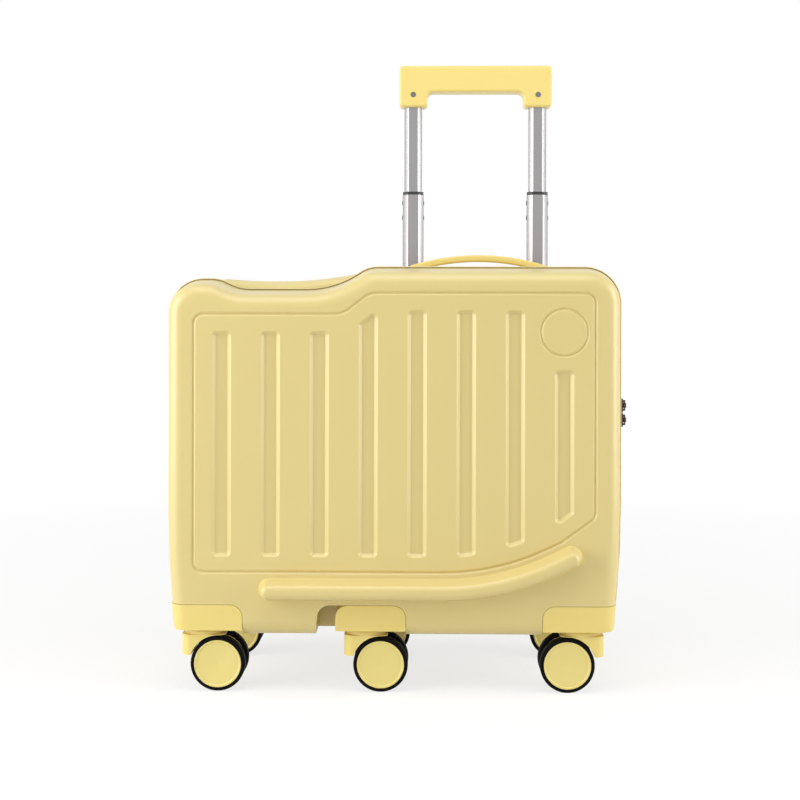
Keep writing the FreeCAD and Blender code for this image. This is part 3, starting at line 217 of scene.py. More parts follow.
def slab(outline, low, high, radius, plane, count=5):
    """A plate between two levels with the outline's shape and rounded edges: a closed set of patches."""
    edge = quarter(radius, count)
    margin = 0.35 * radius
    profile = [(-radius - margin, low)] + [(-i, low + h) for i, h in edge]
    profile += [(-i, high - h) for i, h in edge[::-1]] + [(-radius - margin, high)]
    points, normals = outline
    inner = points - (radius + margin) * normals
    return [grid(carried(outline, profile, plane)), fill([inner], plane(low)), fill([inner], plane(high))]


def plug(name, outline, low, high, plane):
    """A sharp-edged block with the outline's shape, for cutting and joining."""
    places, points = (plane(low), plane(high)), outline[0]
    return build(name, [grid([place(points) for place in places])] + [fill([points], place) for place in places])


print("points round a square with round corners:", len(rectangle(0, 0, 10, 10, 2)[0]))

# %% [markdown]
# The case outline is ten arcs and the straight runs between them: two floor corners, a slow curve above each that
# draws the case in towards its casters, the handle end, the crest above the seat, the seat's two hollows, the bump
# behind it and the far corner. Arcs that meet share a tangent, so their centres lie in line with that point. The
# mould has draft, so the outline shrinks towards each face, except along the floor, which stays level.

# %% The case outline
HALF_WIDTH, FLOOR, DECK, SEAT, BUMP = 232.3, 57.0, 427.0, 404.0, 414.5
DECK_R, BUMP_R, FLOOR_R, DRAW_Z, DRAW_R = 36.0, 34.0, 30.0, 185.0, 1050.0
CREST_X, CREST_R, SEAT_END_R = -17.5, 31.0, 100.0
BUMP_X, HUMP_R, SEAT_START_R = -190.0, 34.0, 50.0
FACE_Y, PARTING_Y, RIM_GAP, TAPER, FILLET, WALL = 103.0, -45.0, 5.5, 5.8, 14.5, 2.5
SLOPE = math.acos(1 - (DECK - SEAT) / (CREST_R + SEAT_END_R))
LEAN = math.acos(1 - (BUMP - SEAT) / (HUMP_R + SEAT_START_R))


def case_outline(inset=0.0, rise=0.0):
    """The case outline in (x, z), drawn in by an inset at the sides and top and lifted by a rise at the floor."""
    seat_right = CREST_X - (CREST_R + SEAT_END_R) * math.sin(SLOPE)
    seat_left = BUMP_X + (HUMP_R + SEAT_START_R) * math.sin(LEAN)
    slope, lean = math.degrees(SLOPE), math.degrees(LEAN)
    floor_z = FLOOR + rise + FLOOR_R - inset
    dip = math.asin((DRAW_Z - floor_z) / (DRAW_R - FLOOR_R))
    floor_x = HALF_WIDTH - DRAW_R + (DRAW_R - FLOOR_R) * math.cos(dip)
    dip = math.degrees(dip)
    arcs = [
        (floor_x, floor_z, FLOOR_R - inset, -90, -dip, 1),
        (HALF_WIDTH - DRAW_R, DRAW_Z, DRAW_R - inset, -dip, 0, 1),
        (HALF_WIDTH - DECK_R, DECK - DECK_R, DECK_R - inset, 0, 90, 1),
        (CREST_X, DECK - CREST_R, CREST_R - inset, 90, 90 + slope, 1),
        (seat_right, SEAT + SEAT_END_R, SEAT_END_R + inset, -90 + slope, -90, -1),
        (seat_left, SEAT + SEAT_START_R, SEAT_START_R + inset, -90, -90 - lean, -1),
        (BUMP_X, BUMP - HUMP_R, HUMP_R - inset, 90 - lean, 90, 1),
        (BUMP_R - HALF_WIDTH, BUMP - BUMP_R, BUMP_R - inset, 90, 180, 1),
        (DRAW_R - HALF_WIDTH, DRAW_Z, DRAW_R - inset, 180, 180 + dip, 1),
        (-floor_x, floor_z, FLOOR_R - inset, 180 + dip, 270, 1),
    ]
    points, normals = joined(arc((x, z), radius, first, last, way, 6.0 if way > 0 else 3.0)
                             for x, z, radius, first, last, way in arcs)
    fresh = np.linalg.norm(points - np.roll(points, 1, axis=0), axis=1) > 1e-6
    return points[fresh], normals[fresh]


def rim_y(side):
    return PARTING_Y + side * RIM_GAP


def half_profile(side, wall=0.0, face_depth=0.0, past_rim=0.0, count=12):
    """The wall of one half, as (depth, inset, rise) rows from its face to its rim.

    The face and the drafted wall are joined by a round of radius R. With k the wall's slope, the round's centre is
    R * (sqrt(1 + k * k) - k) inside the corner, and it ends where the wall's normal meets it.
    """
    run = abs(rim_y(side) - side * FACE_Y)
    k = TAPER / run
    radius = FILLET - wall
    inside = wall + TAPER * (1 - face_depth / run)
    centre = radius * (math.sqrt(1 + k * k) - k)
    angle = np.linspace(0, math.atan2(1, k), count)
    depth = face_depth + radius * (1 - np.cos(angle))
    inset = inside + centre - radius * np.sin(angle)
    left = np.clip(radius - (depth - face_depth), 0, radius)
    rise = wall + radius - np.sqrt(radius ** 2 - left ** 2)
    rows = np.stack([depth, inset, rise], axis=1)
    margin = [[face_depth, inset[0] + 0.5, rise[0] + 0.5]]
    rim = [[run + past_rim, wall - TAPER * past_rim / run, wall]]
    return np.concatenate([margin, rows, rim])


def half_rings(side, rows):
    return [on_face(side * (FACE_Y - depth))(case_outline(inset, rise)[0]) for depth, inset, rise in rows]


def plain_half(name, side, **wall):
    """One half without mouldings, as a closed block."""
    rows = half_profile(side, **wall)
    rings = half_rings(side, rows)
    caps = [fill([case_outline(*rows[i, 1:])[0]], on_face(side * (FACE_Y - rows[i, 0]))) for i in (0, -1)]
    return build(name, [grid(rings)] + caps)


print("case outline points:", len(case_outline()[0]))

# %% [markdown]
# Each face of the case is a moulding: a thin groove frames a stepped panel, eight upright channels are sunk into
# it, a footrest ridge stands out below, and the lid has a round dish in its corner. A height map would blur these
# edges or need a million points. Instead each feature is a profile carried along its own outline, and the flat
# ground between the outlines is filled once.

# %% The outlines on a face
PANEL_LEFT, PANEL_RIGHT, PANEL_BOTTOM = -201.0, 202.0, 120.8
PANEL_SEAT_TOP, PANEL_DECK_TOP = 379.5, 400.8
PANEL_STEP_X, PANEL_STEP_RUN, PANEL_STEP_R, PANEL_R = -37.5, 27.0, 24.0, 10.0
KNEE_X, KNEE_ANGLE, KNEE_R = 167.4, 36.0, 40.0
CHANNELS, CHANNEL_X, CHANNEL_PITCH = 8, -172.6, 49.1
CHANNEL_FLOOR, CHANNEL_RUN, CHANNEL_DEPTH, CHANNEL_MARGIN, CHANNEL_LOWER = 12.0, 3.75, 3.0, 17.0, 2.0
DISH_Z, DISH_R, DISH_RING, DISH_DEPTH, DISH_GAP = 361.5, 25.5, 4.0, 1.4, 12.0
REST_LEFT, REST_RIGHT, REST_Z, REST_HALF, REST_REACH = -134.5, 189.0, 103.8, 11.0, 21.0
REST_BEND_X, REST_ANGLE, REST_BEND_R, REST_DRAFT, REST_ROUND = 109.0, 26.0, 260.0, 3.5, 6.0
GROOVE_HALF, GROOVE_DEPTH = 2.25, 1.6


def panel_corners():
    """The framed panel's corners; its foot sweeps up round the footrest's own centre, then rises once more."""
    rise, angle = PANEL_BOTTOM - REST_Z, math.radians(REST_ANGLE)
    sweep_x = REST_BEND_X - rise * math.tan(angle / 2)
    knee_z = PANEL_BOTTOM + (KNEE_X - sweep_x) * math.tan(angle)
    end_z = knee_z + (PANEL_RIGHT - KNEE_X) * math.tan(math.radians(KNEE_ANGLE))
    return [
        (PANEL_LEFT, PANEL_BOTTOM, PANEL_R), (sweep_x, PANEL_BOTTOM, REST_BEND_R - rise), (KNEE_X, knee_z, KNEE_R),
        (PANEL_RIGHT, end_z, PANEL_R), (PANEL_RIGHT, PANEL_DECK_TOP, PANEL_R),
        (PANEL_STEP_X + PANEL_STEP_RUN / 2, PANEL_DECK_TOP, PANEL_STEP_R),
        (PANEL_STEP_X - PANEL_STEP_RUN / 2, PANEL_SEAT_TOP, PANEL_STEP_R), (PANEL_LEFT, PANEL_SEAT_TOP, PANEL_R),
    ]


def drawn_in(corners, inset):
    """The same corners moved in by an inset: a corner slides along its bisector and its arc keeps its centre."""
    at, middle, half, turn, radius = corner_frames(corners)
    moved = at + middle * (turn * inset / np.sin(half))[:, None]
    return np.column_stack([moved, np.maximum(radius - turn * inset, 0.01)])


def channel_outlines(side):
    """The floors of the channels: upright strips that end parallel to the panel's groove."""
    points, normals = rounded(drawn_in(panel_corners(), CHANNEL_MARGIN + CHANNEL_RUN), 2.0)
    top, foot = points[normals[:, 1] > 0.3], points[normals[:, 1] < -0.3]
    top, foot = top[np.argsort(top[:, 0])], foot[np.argsort(foot[:, 0])]
    outlines = []
    for i in range(CHANNELS):
        x = CHANNEL_X + i * CHANNEL_PITCH
        left, right = x - CHANNEL_FLOOR / 2, x + CHANNEL_FLOOR / 2
        low = np.interp([left, right], foot[:, 0], foot[:, 1]) - CHANNEL_LOWER
        high = np.interp([left, right], top[:, 0], top[:, 1])
        if i == CHANNELS - 1 and side == LID:
            high[:] = DISH_Z - DISH_R - DISH_GAP - CHANNEL_RUN
        outlines.append(rounded([(left, low[0], 1.2), (right, low[1], 1.2), (right, high[1], 1.2),
                                 (left, high[0], 1.2)], 15.0))
    return outlines


def footrest_outline():
    """The footrest bar: straight, then kicked up towards the handle end, with round ends."""
    angle = math.radians(REST_ANGLE)
    along, across = np.array([math.cos(angle), math.sin(angle)]), np.array([-math.sin(angle), math.cos(angle)])
    reach = (REST_RIGHT - REST_BEND_X - REST_HALF) / math.cos(angle) + REST_HALF
    kink = REST_HALF * math.tan(angle / 2)
    tip = np.array([REST_BEND_X, REST_Z]) + along * reach
    low, high, end_r = tip - across * REST_HALF, tip + across * REST_HALF, 0.96 * REST_HALF
    return rounded([
        (REST_LEFT, REST_Z - REST_HALF, end_r), (REST_BEND_X + kink, REST_Z - REST_HALF, REST_BEND_R + REST_HALF),
        (*low, end_r), (*high, end_r), (REST_BEND_X - kink, REST_Z + REST_HALF, REST_BEND_R - REST_HALF),
        (REST_LEFT, REST_Z + REST_HALF, end_r)], 3.0)


def circle(x, z, radius, count=72):
    angle = np.linspace(0, 2 * math.pi, count, endpoint=False)
    ray = np.stack([np.cos(angle), np.sin(angle)], axis=1)
    return np.array([x, z]) + radius * ray, ray


print("footrest outline points:", len(footrest_outline()[0]))

# %% Profiles carried along those outlines
def bevel_profile(run, depth, soft=1.1, count=4):
    """A sunk wall as (offset, depth) rows: a soft lip, a slope over the run, a soft foot.

    The lip and the foot are arcs of one radius, tangent to the flat and to the slope.
    """
    slope = math.atan2(depth, run)
    reach = soft * math.tan(slope / 2)
    angle = np.linspace(0, slope, count)
    lip = np.stack([run + reach - soft * np.sin(angle), soft * (1 - np.cos(angle))], axis=1)
    foot = np.stack([-reach + soft * np.sin(angle), depth - soft * (1 - np.cos(angle))], axis=1)[::-1]
    return np.concatenate([[[lip[0, 0] + 0.4, 0.0]], lip, foot, [[foot[-1, 0] - 0.4, depth]]])


def groove_profile(half, depth, count=9):
    """A soft round-bottomed groove as (offset, depth) rows: depth * cos(angle) squared across its width."""
    offset = np.linspace(half, -half, count)
    rows = np.stack([offset, depth * np.cos(offset / half * math.pi / 2) ** 2], axis=1)
    return np.concatenate([[[half + 0.25, 0.0]], rows, [[-half - 0.25, 0.0]]])


def ridge_profile(count=7):
    """The footrest's side as (offset, depth) rows, depth negative outwards: a drafted wall and a round nose."""
    wall_lean = math.atan2(REST_DRAFT, REST_REACH)
    angle = np.linspace(wall_lean, math.pi / 2, count)
    base = -REST_DRAFT - REST_ROUND
    nose = np.stack([base + REST_ROUND * np.cos(angle), -REST_REACH + REST_ROUND * (1 - np.sin(angle))], axis=1)
    foot = [[0.6, 0.0], [0.4, 0.0], [0.15, -0.1], [0.0, -0.4]]
    return np.concatenate([foot, nose, [[nose[-1, 0] - 0.4, -REST_REACH]]])


def moulded_half(name, side):
    """One half with all its mouldings, as a closed block that is hollowed afterwards."""
    plane = lambda depth: on_face(side * (FACE_Y - depth))
    rows = half_profile(side)
    edge = case_outline(*rows[0, 1:])[0]
    patches = [grid(half_rings(side, rows)), fill([case_outline(*rows[-1, 1:])[0]], plane(rows[-1, 0]))]

    def feature(outline, profile, capped=True):
        """Adds a profile round an outline and its cap; returns the loops where it meets the flat ground."""
        points, normals = outline
        patches.append(grid(carried(outline, profile, plane)))
        ends = [points + profile[i, 0] * normals for i in (0, -1)]
        if capped:
            patches.append(fill([ends[1]], plane(profile[-1, 1])))
        return ends

    panel_groove = groove_profile(GROOVE_HALF, GROOVE_DEPTH)
    outside, inside = feature(rounded(panel_corners(), 3.0), panel_groove, capped=False)
    rest = feature(footrest_outline(), ridge_profile())[0]
    holes = [feature(outline, bevel_profile(CHANNEL_RUN, CHANNEL_DEPTH))[0] for outline in channel_outlines(side)]
    if side == LID:
        dish = circle(CHANNEL_X + (CHANNELS - 1) * CHANNEL_PITCH, DISH_Z, DISH_R - DISH_RING / 2)
        around, disc = feature(dish, groove_profile(DISH_RING / 2, DISH_DEPTH), capped=False)
        holes.append(around)
        patches.append(fill([disc], plane(0.0)))
    patches += [fill([edge, outside, rest], plane(0.0)), fill([inside] + holes, plane(0.0))]
    return build(name, patches)


print("footrest profile rows:", len(ridge_profile()))

# %% [markdown]
# The casters sit in notches cut into the lower edge of each half. A notch is a block with a rounded inner corner.
# The hollow of the shell keeps a wall round every notch, so it is cut back by the same blocks, grown by the wall.

# %% Caster notches and the two shells
CASTERS = {"left": (-191.5, 1), "middle": (-27.5, 1), "right": (190.0, -1)}
CASTER_Y, TRAIL = 77.5, 15.0
HOUSING_HALF, HOUSING_SHIFT, HOUSING_TOP, HOUSING_BOTTOM, HOUSING_BACK = 35.2, 5.0, 87.5, 62.0, 55.0
HOUSING_GAP, HOUSING_R, RECESS_WIDTH, RECESS_LEAN, NOTCH_OUT = 0.4, 12.5, 17.0, 8.0, 20.0


def notch_outline(place, gap=0.0, recess=False):
    """The notch of a caster in (x, z), grown by a gap; the middle notch has an open recess beside its housing."""
    x, way = CASTERS[place]
    centre, half = x + way * HOUSING_SHIFT, HOUSING_HALF + gap
    left, right, left_r, right_r, lean = centre - half, centre + half, HOUSING_R + gap, HOUSING_R + gap, 0.0
    if place == "left":
        left, left_r = -HALF_WIDTH - NOTCH_OUT, 1.0
    if place == "right":
        right, right_r = HALF_WIDTH + NOTCH_OUT, 1.0
    if recess and place == "middle":
        left, lean = left - RECESS_WIDTH, RECESS_LEAN
    bottom = 0.0 if recess else HOUSING_BOTTOM
    return rounded([(left - lean, bottom, 1.0), (right, bottom, 1.0), (right, HOUSING_TOP + gap, right_r),
                    (left, HOUSING_TOP + gap, left_r)])


def notch_block(name, place, side, gap=0.0, recess=False):
    """A block with the notch's shape, from its back wall to beyond the footrest."""
    low, high = side * (HOUSING_BACK - gap), side * (FACE_Y + REST_REACH + 2)
    return plug(name, notch_outline(place, gap, recess), low, high, on_face)


def moulded_shell(name, side):
    """A half with mouldings, less the notches and a hollow that keeps walls behind the face and round them."""
    hollow = plain_half("hollow", side, wall=WALL, face_depth=CHANNEL_DEPTH + WALL, past_rim=1.0)
    carve(hollow, [notch_block("wall", place, side, HOUSING_GAP + WALL, True) for place in CASTERS])
    shell = moulded_half(name, side)
    notches = [notch_block("notch", place, side, HOUSING_GAP, True) for place in CASTERS]
    return carve(shell, [hollow] + notches)


PIECES, REPLACED = [], set()


def fit(piece, body, slot, *nodes):
    """Hand a piece to the frame: it rides on a CAD body, stands for CAD nodes and takes a finish of the record."""
    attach(piece, body)
    if nodes:
        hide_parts(*nodes)
    PIECES.append((piece, slot))
    REPLACED.update(nodes)
    print(piece.name, "faces:", len(piece.data.polygons))
    return piece


HALVES = {"front": (LID, "front_lid"), "back": (BACK, "main_case")}
shells = {half: moulded_shell(f"{half}_shell_moulding", side) for half, (side, _) in HALVES.items()}
print("shells:", {half: len(shell.data.polygons) for half, shell in shells.items()})

# %% [markdown]
# The back half is cut through where other parts pass: the trolley tubes and the legs of the carry handle come up
# through the deck, and the lock sits in the handle end. Each opening is a block of the part's own section. Cutting
# leaves long triangles on the flat ground, so the normals are weighted by area and the ground shades as one plane.

# %% Sections of the trolley, the carry handle and the lock, and their openings
TROLLEY_X, TROLLEY_Y, TUBE_PITCH = 86.5, 70.0, 138.0
TUBES = (TROLLEY_X - TUBE_PITCH / 2, TROLLEY_X + TUBE_PITCH / 2)
TUBE_HALF_WIDTH, TUBE_HALF_DEPTH, TUBE_CHAMFER, TUBE_EDGE_R = 9.8, 7.8, 4.8, 1.5
MIDDLE_GROW, OUTER_BORE, OUTER_GROW = 1.8, 2.8, 4.2
CARRY_LEFT, CARRY_RIGHT, CARRY_Y, CARRY_LEG, CARRY_LEG_WIDTH = 14.9, 161.9, 18.0, 13.0, 15.0
CARRY_LEGS = (CARRY_LEFT + CARRY_LEG / 2, CARRY_RIGHT - CARRY_LEG / 2)
LOCK_Y, LOCK_Z, LOCK_WIDTH, LOCK_HEIGHT, LOCK_R = -18.0, 263.0, 24.0, 76.0, 5.0
THROUGH_DECK, THROUGH_END, TUBE_SLACK, LEG_SLACK = (380.0, 460.0), (215.0, 240.0), 0.15, 0.5


def tube_outline(x, grow):
    """The eight-sided tube section about x, grown from the outside of the upper tube, with eased edges."""
    w, d = TUBE_HALF_WIDTH + grow, TUBE_HALF_DEPTH + grow
    c = TUBE_CHAMFER + grow * (2 - math.sqrt(2))
    sides = [(w - c, -d), (w, c - d), (w, d - c), (w - c, d), (c - w, d), (-w, d - c), (-w, c - d), (c - w, -d)]
    return rounded([(x + u, TROLLEY_Y + v, TUBE_EDGE_R) for u, v in sides], 15.0)


def leg_outline(x, grow):
    """The section of the carry handle's leg about x, grown all round."""
    return rectangle(x, CARRY_Y, CARRY_LEG + 2 * grow, CARRY_LEG_WIDTH + 2 * grow, 1.0, 15.0)


openings = [plug("tube_opening", tube_outline(x, OUTER_GROW + TUBE_SLACK), *THROUGH_DECK, on_deck) for x in TUBES]
openings += [plug("leg_opening", leg_outline(x, LEG_SLACK), *THROUGH_DECK, on_deck) for x in CARRY_LEGS]
lock_outline = rectangle(LOCK_Y, LOCK_Z, LOCK_WIDTH, LOCK_HEIGHT, LOCK_R)
carve(shells["back"], openings + [plug("lock_opening", lock_outline, *THROUGH_END, on_end)])
for half, (side, body) in HALVES.items():
    flat = shells[half].modifiers.new("flat ground", "WEIGHTED_NORMAL")
    flat.mode, flat.weight, flat.keep_sharp = "FACE_AREA", 80, True
    fit(shells[half], body, "shell", f"{half}_shell")

# %% [markdown]
# The zipper is two woven tapes that meet in the parting plane, with a chain of small teeth. A tape's cross-section
# is an L: a band that stands in the gap between the two rims, lower next to the teeth, and a flange that is sewn
# inside the rim. Carried round the case outline, it follows every corner of the case. The teeth of the two tapes
# take turns along the seam. The run at the hinge end has none, because the cloth only bends there.

# %% Zipper tapes and teeth
ZIP_PROUD, ZIP_DEEP, ZIP_LOW, ZIP_BAND, FLANGE_DEEP, FLANGE = 2.0, 5.0, 0.6, 5.05, 8.0, 1.0
ZIP_NECK, ZIP_NECK_TOP, ZIP_LIP, ZIP_RAMP = 3.4, 0.8, 1.0, (1.7, 2.6)
ZIP_CLEAR, ZIP_SPARE, TOOTH_PITCH = 0.15, 0.3, 3.4
TOOTH_TALL, TOOTH_SUNK, TOOTH_FOOT, TOOTH_TIP, TOOTH_REACH, TOOTH_LAP = 1.1, 0.3, 0.8, 0.6, 1.9, 0.9


def zip_tape(name, side):
    """The section, as (distance from the seam, distance out of the case), carried round the case.

    It is an L whose upright has a neck, so a dark line runs between the rim of the shell and the edge of the tape.
    """
    end, top = ZIP_BAND + FLANGE_DEEP, FLANGE - ZIP_DEEP
    section = rounded([
        (0, -ZIP_DEEP, 0.2), (end, -ZIP_DEEP, 0.3), (end, top, 0.3), (ZIP_NECK, top, 0.2),
        (ZIP_NECK, ZIP_NECK_TOP, 0.2), (ZIP_BAND, ZIP_LIP, 0.3), (ZIP_BAND, ZIP_PROUD, 0.5),
        (ZIP_RAMP[1], ZIP_PROUD, 0.6), (ZIP_RAMP[0], ZIP_LOW, 0.4), (0, ZIP_LOW, 0.2)], 30.0)[0]
    seam = PARTING_Y + side * ZIP_CLEAR
    rings = [on_face(seam + side * along)(case_outline(-out, max(-out, 0.0))[0]) for along, out in section]
    tape = build(name, [grid(rings, wrap=True)])
    if side == BACK:
        return tape
    spare = HOUSING_GAP + WALL + ZIP_SPARE
    return carve(tape, [notch_block("spare", place, side, spare, True) for place in CASTERS])


def evenly(points, normals, pitch, start):
    """Places and normals at an even pitch along a closed outline, from a start."""
    loop, facing = np.vstack([points, points[:1]]), np.vstack([normals, normals[:1]])
    length = np.concatenate([[0], np.cumsum(np.linalg.norm(np.diff(loop, axis=0), axis=1))])
    count = int(length[-1] / pitch)
    at = (np.arange(count) + start) * length[-1] / count
    place = np.stack([np.interp(at, length, loop[:, i]) for i in (0, 1)], axis=1)
    normal = np.stack([np.interp(at, length, facing[:, i]) for i in (0, 1)], axis=1)
    return place, normal / np.linalg.norm(normal, axis=1)[:, None]


def zip_teeth(name, side, start):
    """Small tapered blocks at an even pitch: the eight corners of one tooth, set in the frame of each place."""
    place, normal = evenly(*case_outline(-ZIP_LOW), TOOTH_PITCH, start)
    hinge_run = (place[:, 0] < FLOOR_R / 3 - HALF_WIDTH) & (place[:, 1] > FLOOR + FLOOR_R)
    hinge_run &= place[:, 1] < BUMP - BUMP_R
    place, normal = place[~hinge_run], normal[~hinge_run]
    along = np.stack([-normal[:, 1], normal[:, 0]], axis=1)
    levels = ((-TOOTH_SUNK, TOOTH_FOOT), (TOOTH_TALL, TOOTH_TIP))
    around = ((-1, TOOTH_REACH), (1, TOOTH_REACH), (1, -TOOTH_LAP), (-1, -TOOTH_LAP))
    corner = np.array([(way * half, out, y) for out, half in levels for way, y in around])
    flat = place[:, None] + corner[None, :, :1] * along[:, None] + corner[None, :, 1:2] * normal[:, None]
    depth = np.broadcast_to(PARTING_Y + side * corner[None, :, 2], flat.shape[:2])
    points = np.stack([flat[..., 0], depth, flat[..., 1]], axis=-1).reshape(-1, 3)
    sides = np.array([(0, 1, 2, 3), (4, 7, 6, 5), (0, 4, 5, 1), (1, 5, 6, 2), (2, 6, 7, 3), (3, 7, 4, 0)])
    faces = (sides[None] + 8 * np.arange(len(place))[:, None, None]).reshape(-1, 4).tolist()
    return build(name, [(points, faces)])


for half, (side, body) in HALVES.items():
    fit(zip_tape(f"{half}_zip_cloth", side), body, "zip_tape", f"{half}_zip_tape")
    fit(zip_teeth(f"{half}_zip_teeth", side, 0.0 if side == LID else 0.5), body, "accent_plastic")

# %% [markdown]
# The saddle is a padded cushion in the dip of the top. It is hollow along its length, crowned across, and rounds
# over at its rim. Rings of its plan shrink to the middle, each point lifted to the crown, less the rim's round.
# Below, the same plan is let down onto the seat, so the cushion meets the shell all round.

# %% The saddle
SADDLE_MIDDLE, SADDLE_LENGTH, SADDLE_WIDTH, SADDLE_R = (-107.0, 21.0), 160.0, 118.0, 20.0
SADDLE_ROUND, SADDLE_CROWN, SADDLE_SUNK, RIM_SUNK, SADDLE_PITCH = 6.0, 5.0, 0.8, 0.6, 3.0
SADDLE_HEIGHTS = ((-187.0, 417.5), (-120.0, 414.5), (-55.0, 420.5), (-27.0, 426.5))


def seat_z(x, y):
    """The top of the back half above (x, y), from its outlines at the rim and at the face."""
    tops = []
    for inset in (0.0, TAPER):
        points, normals = case_outline(inset)
        top = points[normals[:, 1] > 0.2]
        top = top[np.argsort(top[:, 0])]
        tops.append(np.interp(x, top[:, 0], top[:, 1]))
    share = np.clip((y - rim_y(BACK)) / (FACE_Y - rim_y(BACK)), 0, 1)
    return tops[0] * (1 - share) + tops[1] * share


def saddle(name):
    """Rings of the plan: under the seat, up the side, round the rim and in to the middle of the crown."""
    curve, middle = np.polyfit(*zip(*SADDLE_HEIGHTS), 3), np.array(SADDLE_MIDDLE)
    outline = rectangle(*middle, SADDLE_LENGTH, SADDLE_WIDTH, SADDLE_R, 5.0)
    plan, normals = evenly(*outline, SADDLE_PITCH, 0.0)

    def lifted(flat, drop=0.0):
        across = (flat[:, 1] - middle[1]) / SADDLE_WIDTH * 2
        crown = np.polyval(curve, flat[:, 0]) - SADDLE_CROWN * across ** 2 - drop
        return np.column_stack([flat, np.maximum(crown, seat_z(*flat.T) - RIM_SUNK)])

    def shrunk(flat, share):
        return middle + (flat - middle) * share

    rim = [lifted(plan - inset * normals, drop) for inset, drop in quarter(SADDLE_ROUND, 7)[::-1]]
    top = [lifted(shrunk(plan - SADDLE_ROUND * normals, share)) for share in np.linspace(0.96, 0.0, 22)]
    under = [shrunk(plan, share) for share in np.linspace(0.0, 1.0, 12)]
    under = [np.column_stack([flat, seat_z(*flat.T) - SADDLE_SUNK]) for flat in under]
    return build(name, [grid(under + rim + top)], crease=50)


cushion = fit(saddle("saddle_cushion"), "main_case", "saddle", "seat_saddle")

# %% [markdown]
# Each caster has a housing that fills its notch, a fork that swivels under it and two wheels. A housing is the
# case block itself, let down a little and kept only inside the notch, so its faces stay flush with the shell. The
# fork's hood is a turned cap on a skirt, with the wheels' room cut out of both. Hubs and tyres are turned too.

# %% Caster housings
def bevel(obj, width):
    """Ease the sharp edges of a finished piece."""
    edges = obj.modifiers.new("eased edges", "BEVEL")
    edges.width, edges.segments, edges.harden_normals = width * MM, 3, True
    edges.limit_method, edges.angle_limit = "ANGLE", math.radians(35)
    return obj


HOUSING_DROP, HOUSING_EDGE = 12.0, 0.7


def housing(name, place, side):
    """The case block, let down so that its round edge lies below the housing, kept only inside the notch."""
    block = plain_half(name, side)
    block.data.transform(Matrix.Translation((0, 0, -HOUSING_DROP * MM)))
    return bevel(carve(block, [notch_block("notch", place, side)], "INTERSECT"), HOUSING_EDGE)


for half, (side, body) in HALVES.items():
    for place in CASTERS:
        fit(housing(f"{half}_{place}_housing_cover", place, side), body, "caster_plastic",
            f"{half}_{place}_caster_housing")

# %% Forks and wheels
WHEEL_R, WHEEL_WIDTH, WHEEL_SPACING, TYRE_ROUND = 27.5, 13.0, 28.0, 2.4
HUB_R, HUB_LIP, HUB_LIP_FOOT, HUB_SUNK = 23.8, 1.7, 2.6, 1.0
HOOD_R, HOOD_TOP, HOOD_LOW, HOOD_ROUND, WHEEL_ROOM, ROOM_REACH = 20.5, 61.6, 36.1, 3.0, 28.6, 40.0
SKIRT_LENGTH, SKIRT_WIDTH, SKIRT_R, SKIRT_TOP = 44.0, 41.0, 10.0, 56.5
WEB, WEB_END_R, BOSS_R, BOSS_LOW, FORK_EDGE = 9.6, 9.0, 6.8, 38.6, 0.5


def turned(section, at, plane, wrap=False):
    """A section of (radius, level) rows turned about a point of the plane."""
    return grid(carried(circle(*at, 0.0), section, plane), wrap)


def fork(name, x, y, way):
    """The hood and its skirt less the wheels' room, then the web to the axle and the boss of the stem."""
    shoulder = np.array([HOOD_R, HOOD_TOP]) - quarter(HOOD_ROUND, 6)[::-1]
    section = np.vstack([[(0, HOOD_LOW), (HOOD_R, HOOD_LOW)], shoulder, [(0, HOOD_TOP)]])
    hood = build(name, [turned(section, (x, y), on_deck)])
    skirt = rectangle(x, y, SKIRT_LENGTH, SKIRT_WIDTH, SKIRT_R)
    carve(hood, [plug("skirt", skirt, HOOD_LOW, SKIRT_TOP, on_deck)], "UNION")
    axle_x, head = x + way * TRAIL, HOOD_TOP - HOOD_ROUND
    room = circle(axle_x, WHEEL_R, WHEEL_ROOM)
    carve(hood, [plug("room", room, y - ROOM_REACH, y + ROOM_REACH, on_face)])
    corners = [(x - way * BOSS_R, BOSS_LOW, 2.0), (axle_x - way * WEB_END_R, WHEEL_R + 1, 6.0),
               (axle_x, WHEEL_R - WEB_END_R, 7.0), (axle_x + way * WEB_END_R, WHEEL_R + 1, 6.0),
               (x + way * (HOOD_R - HOOD_ROUND), head, 1.0), (x - way * BOSS_R, head, 1.0)]
    web = plug("web", rounded(corners[::way]), y - WEB / 2, y + WEB / 2, on_face)
    boss = plug("boss", circle(x, y, BOSS_R, 48), BOSS_LOW, HOOD_TOP - 1, on_deck)
    return bevel(carve(hood, [web, boss], "UNION"), FORK_EDGE)


def wheel_sections(y, out):
    """The closed sections of hub and tyre, as (radius, y) rows; out is the side that faces away from the fork."""
    near, far = y - out * WHEEL_WIDTH / 2, y + out * WHEEL_WIDTH / 2
    disc = far - out * HUB_SUNK
    hub = [(0, near, 0.01), (HUB_R, near, 0.4), (HUB_R, far, 0.5), (HUB_R - HUB_LIP, far, 0.5),
           (HUB_R - HUB_LIP_FOOT, disc, 0.5), (0, disc, 0.01)]
    tyre = [(HUB_R, near, 0.1), (WHEEL_R, near, TYRE_ROUND), (WHEEL_R, far, TYRE_ROUND), (HUB_R, far, 0.1)]
    return rounded(hub[::out], 18.0)[0], rounded(tyre[::out], 12.0)[0]


